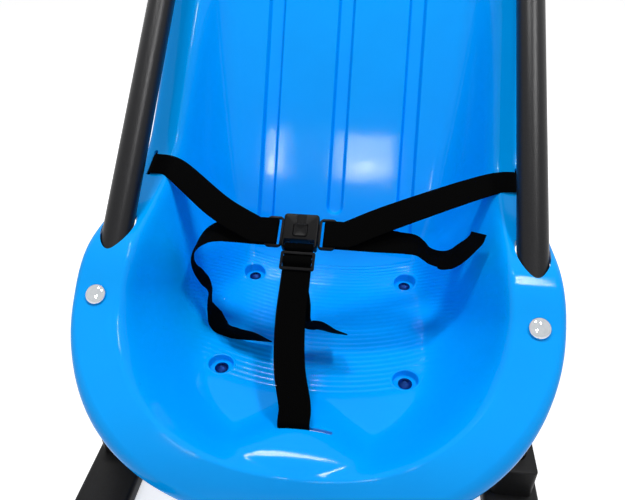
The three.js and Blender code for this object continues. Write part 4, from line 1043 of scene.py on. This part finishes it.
button = crowned("release_button_cap", at(HARNESS, 0, 0, 4.15), 12.4, 12.4, 4.7, 2.2, 0.8, -0.35)
shoulders = [block("shoulder", at(HARNESS, x, 5.0, 6.5), 1.6, 1.2, 0.7, 0.4, 0.3) for x in (-4.8, 4.8)]
carved(button, *shoulders, how="UNION", sharp=35)
finished(button, nylon, "release_button", "release_button")

# %% Tongues and slide
TONGUE_BAR, TONGUE_END, SLIDE_Y = 22.9, 31, -27
for side, name in ((-1, "left_tongue"), (1, "right_tongue")):
    tongue = block(f"{name}_frame", at(HARNESS, side * 23.4), 15.2, 30, 3, 4, 0.5)
    blade = block("blade", at(HARNESS, side * 12.65), 8.3, 18, 3, 0.6, 0.4)
    carved(tongue, blade, how="UNION", sharp=35)
    carved(tongue, block("window", at(HARNESS, side * 20.1), 4.6, 26, 12, 0.8, 0.1), sharp=35)
    finished(tongue, nylon, name, name)

slide = crowned("strap_slide_frame", at(HARNESS, 0, SLIDE_Y), 30, 17.5, 1.8, 2, 0.45, 0.0)
windows = [block("window", at(HARNESS, 0, SLIDE_Y + y), 25.4, 5, 8, 0.8, 0.1) for y in (-3.75, 3.75)]
finished(carved(slide, *windows, sharp=35), nylon, "strap_slide", "strap_slide")

# %% [markdown]
# ## Webbing
#
# A strap is a band swept along rows of a place and a direction across the band. The rows are the
# same as those of the CAD straps, joined here by the same kind of curve in finer steps. Its edges
# are rounded like a woven selvedge, and every corner stores its millimetres across and along, which
# the weave of the material follows.

# %% Curved rows
def curved(rows, steps=14):
    """More rows on a centripetal Catmull-Rom curve through the given ones."""
    rows = np.array([[*place, *direction] for place, direction in rows], float)
    rows = np.vstack([2 * rows[0] - rows[1], rows, 2 * rows[-1] - rows[-2]])
    made = []
    for k in range(1, len(rows) - 2):
        four = rows[k - 1:k + 3]
        gap = [sqrt(max(np.linalg.norm(b[:3] - a[:3]), 1e-9)) for a, b in zip(four, four[1:])]
        way = [(b - a) / g for a, b, g in zip(four, four[1:], gap)]
        first = way[0] - (four[2] - four[0]) / (gap[0] + gap[1]) + way[1]
        last = way[1] - (four[3] - four[1]) / (gap[1] + gap[2]) + way[2]
        made += [eased(t, four[1], four[2], gap[1] * first, gap[1] * last) for t in np.arange(steps) / steps]
    made.append(rows[-2])
    return [(Vector(row[:3]), Vector(row[3:]).normalized()) for row in made]


print("two spans give", len(curved([((x, 0, 0), (0, 0, 1)) for x in (0, 1, 2)])), "rows")

# %% Strap bands
SECTION = [(x * 11.6, 0.55) for x in np.linspace(1, -1, 15)]
SECTION += [(-12.15, 0.46), (-12.42, 0.25), (-12.5, 0.0), (-12.42, -0.25), (-12.15, -0.46)]
SECTION = np.array(SECTION + [(-x, -z) for x, z in SECTION])


def band(name, rows, start_mm=0.0):
    """The mesh of a strap along rows of (place in metres, direction across)."""
    places = np.array([place for place, _ in rows])
    along = unit(np.gradient(places, axis=0))
    steps = np.linalg.norm(np.diff(places, axis=0), axis=1) / MM
    length = start_mm + np.concatenate([[0], np.cumsum(steps)])
    rings, threads = [], []
    for place, way, (_, across), mm in zip(places, along, rows, length):
        flat = unit(np.array(across) - way * np.dot(across, way))
        normal = np.cross(way, flat)
        rings.append(place + MM * (np.outer(SECTION[:, 0], flat) + np.outer(SECTION[:, 1], normal)))
        threads.append(np.column_stack([SECTION[:, 0], np.full(len(SECTION), mm), SECTION[:, 1]]))
    points, faces = loft(rings)
    made = in_scene(name, bpy.data.meshes.new(name))
    made.data.from_pydata(points.tolist(), [], [list(face) for face in faces])
    weave = made.data.attributes.new("strap_mm", "FLOAT_VECTOR", "POINT")
    weave.data.foreach_set("vector", np.vstack(threads).ravel())
    faced_out(made.data)
    print("band", name, round(length[-1] - start_mm), "mm long")
    return smoothed(made, 60)


print("a band is", 2 * SECTION[:, 0].max(), "mm wide and", 2 * SECTION[:, 1].max(), "mm thick")


# %% Rows of the straps
def harness(x, y, z):
    return HARNESS @ Vector((x, y, z))


def harness_row(x, y, z, across=(0, 1, 0)):
    return harness(x, y, z), (HARNESS.to_3x3() @ Vector(across)).normalized()


def tail_rows(shares):
    """Loose ends are measured in parts of 200 mm in the seat's frame."""
    turn = SEAT.to_3x3()
    return [(SEAT @ (Vector(row[:3]) * 200), (turn @ Vector(row[3:])).normalized()) for row in shares]


LEFT_TAIL = [(-.414, .255, -.33, -.32, .8, -.51), (-.477, .243, -.33, -.41, .62, -.67),
             (-.524, .219, -.33, -.4, .4, -.83), (-.559, .185, -.34, -.33, .18, -.93),
             (-.582, .139, -.358, -.28, .02, -.96), (-.581, .096, -.376, -.42, -.1, -.9),
             (-.565, .061, -.391, -.53, -.2, -.82), (-.539, .018, -.409, -.54, -.26, -.8),
             (-.519, -.017, -.417, -.4, -.26, -.87), (-.511, -.048, -.423, -.31, -.22, -.92),
             (-.508, -.082, -.429, -.41, -.2, -.89), (-.495, -.123, -.429, -.63, -.18, -.76),
             (-.47, -.165, -.418, -.8, -.17, -.57), (-.402, -.203, -.392, -.65, -.26, -.71),
             (-.338, -.211, -.368, -.38, -.4, -.84), (-.272, -.215, -.354, -.21, -.38, -.9),
             (-.205, -.228, -.35, -.1, -.2, -.97)]
RIGHT_TAIL = [(.235, .252, -.325, 0, .88, -.5), (.349, .247, -.339, -.03, .76, -.65),
              (.414, .241, -.363, .06, .7, -.71), (.45, .222, -.39, .14, .6, -.79),
              (.481, .2, -.412, .08, .57, -.82), (.527, .188, -.426, -.02, .59, -.81),
              (.57, .193, -.395, -.14, .55, -.82), (.62, .231, -.34, -.28, .37, -.89),
              (.643, .257, -.324, -.29, .32, -.9), (.662, .281, -.32, -.28, .35, -.89),
              (.673, .309, -.32, -.21, .45, -.87)]
CROTCH_TAIL = [(-.036, -.125, -.258, .18, .43, .89), (.023, -.135, -.272, .11, .4, .91),
               (.078, -.155, -.291, .09, .25, .96), (.125, -.166, -.305, .09, .16, .98)]
print("buckle centre at", [round(v, 3) for v in harness(0, 0, 0)])

# %% Hip straps
# The strap runs on into the first row of its loose end, and the loose end is a band of its own.
WRAP = 2.35


def round_bar(x, radius, side):
    """Half a turn round a tongue's bar, from its upper face to its lower face."""
    return [harness_row(side * (x - radius * sin(a)), 0, radius * cos(a))
            for a in np.radians(np.linspace(0, 180, 13))]


def hip_strap(side, name, shares):
    slot_frame, tongue, node_name = hip_slot(side), f"{name}_tongue", f"{name}_hip_strap"
    across = (slot_frame.to_3x3() @ Vector((0, 1, 0))).normalized()
    steps = ((0, -3), (0, 1.4), (3, 2.9), (9, 2.8), (18, 1.2))
    rows = [(slot_frame @ Vector((-side * x, -4.5, z)), across) for x, z in steps]
    rows.append(harness_row(side * 2.4 * TONGUE_END, 0.6 * TONGUE_END, WRAP, (side * -0.3, 1, 0)))
    rows.append(harness_row(side * (TONGUE_END + 9), 0, WRAP))
    rows = curved(rows) + [harness_row(side * x, 0, WRAP) for x in (36, 32, 28, 25)]
    rows += round_bar(TONGUE_BAR, WRAP, side)
    rows += [harness_row(side * x, 0, -WRAP) for x in (25, 28, 32)]
    loose = curved([harness_row(side * (TONGUE_END + 4.5), 0, -WRAP)] + tail_rows(shares))
    strap = finished(band(f"{name}_hip_webbing", rows + loose[:1]), webbing, None, node_name)
    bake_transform(strap)
    end = band(f"{name}_hip_tail", [harness_row(side * 34, 0, -WRAP)] + loose, 37)
    finished(end, webbing, None, node_name)
    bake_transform(end)


hip_strap(-1, "left", LEFT_TAIL)
hip_strap(1, "right", RIGHT_TAIL)

# %% Crotch strap
# The webbing rises from its slot and goes under the slide's lower bar, over the middle bar, under
# the upper bar, over the buckle's bar and down through its slot. It comes back under the slide in
# the same way, between the slide and the first layer, and leaves as the loose end.
INNER, OUTER, HOOK, CUT, STRAP_X = 1.45, 2.6, 2.65, -19.6, -4.7


def crotch_slot_row(back, up):
    return CROTCH_SLOT @ Vector((STRAP_X, back, up)), Vector((1, 0, 0))


def woven(*steps):
    return [harness_row(0, y, z, (1, 0, 0)) for y, z in steps]


rise = [crotch_slot_row(*row) for row in ((0, -8.5), (0, 2.5), (3, 5), (9, 9.5))]
rise += [harness_row(5, -121.5, -0.3, (1, 0, 0)), harness_row(0.3, -81, -1.6, (1, 0, 0))]
rise += woven((-38.5, -INNER))
over_slide = woven((-36, -INNER), (-33.8, -INNER), (-31.5, -0.5), (-29.6, 1.9), (-28, OUTER), (-26, OUTER),
                   (-24.3, 1.9), (-22.4, -0.5), (-20.4, -INNER), (CUT, -INNER))
lower_strap = band("crotch_webbing", curved(rise)[:-1] + curved(over_slide, 5))
finished(lower_strap, webbing, None, "crotch_strap")
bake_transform(lower_strap)

hook = woven((CUT, -INNER), (-18.6, -1.3), (-17.5, -0.1), (-17.0, 1.5), (-16.0, HOOK), (-13.6, HOOK),
             (-11.9, 2.2), (-11.0, 0.9), (-11.0, -0.9), (-11.9, -2.2), (-13.6, -HOOK), (-16.5, -HOOK),
             (CUT, -OUTER))
upper_strap = finished(band("buckle_webbing", curved(hook, 5), 250), webbing, None, "crotch_strap")
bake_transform(upper_strap)

under_slide = woven((CUT, -OUTER), (-20.9, -OUTER), (-22.6, -1.6), (-24.4, 0.7), (-26, INNER), (-28, INNER),
                    (-29.6, 0.7), (-31.4, -1.6), (-33.4, -OUTER), (-36, -OUTER))
loose_end = woven((-36, -OUTER), (-44.5, -4.25)) + [harness_row(0, -54, -9, (1, 0.2, 0))]
tail_band = curved(under_slide, 5)[:-1] + curved(loose_end + tail_rows(CROTCH_TAIL))
tail = finished(band("crotch_tail", tail_band, 290), webbing, None, "crotch_strap_tail")
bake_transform(tail)

# %% [markdown]
# ## Keepers and glide strips
#
# Under the rim a moulded keeper bar stops each strap from pulling out of its slot. They are soft
# bars with rounded ends. The glide strips and their screws keep the CAD shapes, which are right as
# they are, and only get their zinc.

# %% Keeper bars and zinc
for side, name in SIDES:
    keeper = block(f"{name}_keeper_bar", at(hip_slot(side), z=-5.3), 9, 40, 4, 2, 1.2)
    finished(keeper, nylon, "sled", f"{name}_keeper")
keeper = block("crotch_keeper_bar", at(CROTCH_SLOT, STRAP_X, 0, -10.8), 29, 9, 4, 2, 1.2)
finished(keeper, nylon, "sled", "crotch_keeper")
for name in sorted(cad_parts):
    if name.startswith(("ski_glide", "glide_screw")):
        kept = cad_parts[name].data.materials
        kept.clear()
        kept.append(zinc)
        print("zinc on", name)

# %% [markdown]
# ## Floor, world and lamps
#
# The sled was photographed as a product shot: soft lamps and a white ground. The floor keeps the
# object's shadow, and a white world stands in for the studio. Both are bright for the camera and
# for mirrors. On the sled the floor puts no light and the world only a faint daylight. The lamps
# stand where the gloss of the seat sends the camera's ray: a patch on the right rim, a window in
# the back, and streaks on the front lip.

# %% Floor
def seen_or_mirrored(tree, value):
    """A value for rays from the camera, from a mirror or through glass, and nothing for others."""
    path = node(tree, "ShaderNodeLightPath").outputs
    first = maths("MAXIMUM", path["Is Camera Ray"], path["Is Glossy Ray"])
    return maths("MULTIPLY", maths("MAXIMUM", first, path["Is Transmission Ray"]), value)


def studio_floor(half=6, glow=0.62):
    mesh = bpy.data.meshes.new("studio_floor")
    corners = [(x * half, y * half, 0) for x, y in ((-1, -1), (1, -1), (1, 1), (-1, 1))]
    mesh.from_pydata(corners, [], [(0, 1, 2, 3)])
    paint, shader = new_material("white_studio_floor", Roughness=0.9, Specular_IOR_Level=0.1)
    coloured(shader, noise(object_place(shader), 40), "#f2f2f2", "#f6f6f6")
    shader.inputs["Emission Color"].default_value = (1, 1, 1, 1)
    fed(shader, "Emission Strength", seen_or_mirrored(shader.id_data, glow))
    mesh.materials.append(paint)
    in_scene("studio_floor", mesh)
    print("floor", 2 * half, "m wide")


studio_floor()

# %% World
DAYLIGHT = 0.3
world = bpy.data.worlds.new("studio")
bpy.context.scene.world = world
world.use_nodes = True
background = world.node_tree.nodes["Background"]
background.inputs["Color"].default_value = (1, 1, 1, 1)
fed(background, "Strength", maths("ADD", seen_or_mirrored(world.node_tree, 1 - DAYLIGHT), DAYLIGHT))
print("daylight", DAYLIGHT, "and a white background")

# %% Lamps
AIM = SEAT @ Vector((0, 20, -60))


def softbox(name, azimuth, elevation, distance, width, height, radiance, turn=0):
    """A rectangular lamp seen from the seat at an azimuth and elevation; radiance 1 is paper white."""
    a, e = radians(azimuth), radians(elevation)
    towards = Vector((sin(a) * cos(e), -cos(a) * cos(e), sin(e)))
    lamp = bpy.data.lights.new(name, "AREA")
    lamp.shape, lamp.size, lamp.size_y = "RECTANGLE", width, height
    lamp.energy = radiance * pi * width * height
    aimed = towards.to_track_quat("Z", "Y").to_matrix().to_4x4()
    place = Matrix.Translation(AIM + towards * distance)
    in_scene(name, lamp).matrix_world = facing(place @ aimed, "Z", turn)
    print("lamp", name, round(lamp.energy, 1), "W")


softbox("key_strip_right", 97, 71.5, 1.58, 0.36, 0.15, 60)
softbox("lamp_overhead", -148, 72, 1.6, 0.26, 0.2, 60)
softbox("window", -3.8, 43.9, 1.48, 0.1, 0.16, 32)
softbox("window_pane", -2.5, 42.5, 1.42, 0.035, 0.045, 90)
softbox("low_front_strip", -15, 32, 1.5, 0.55, 0.03, 48, -58)
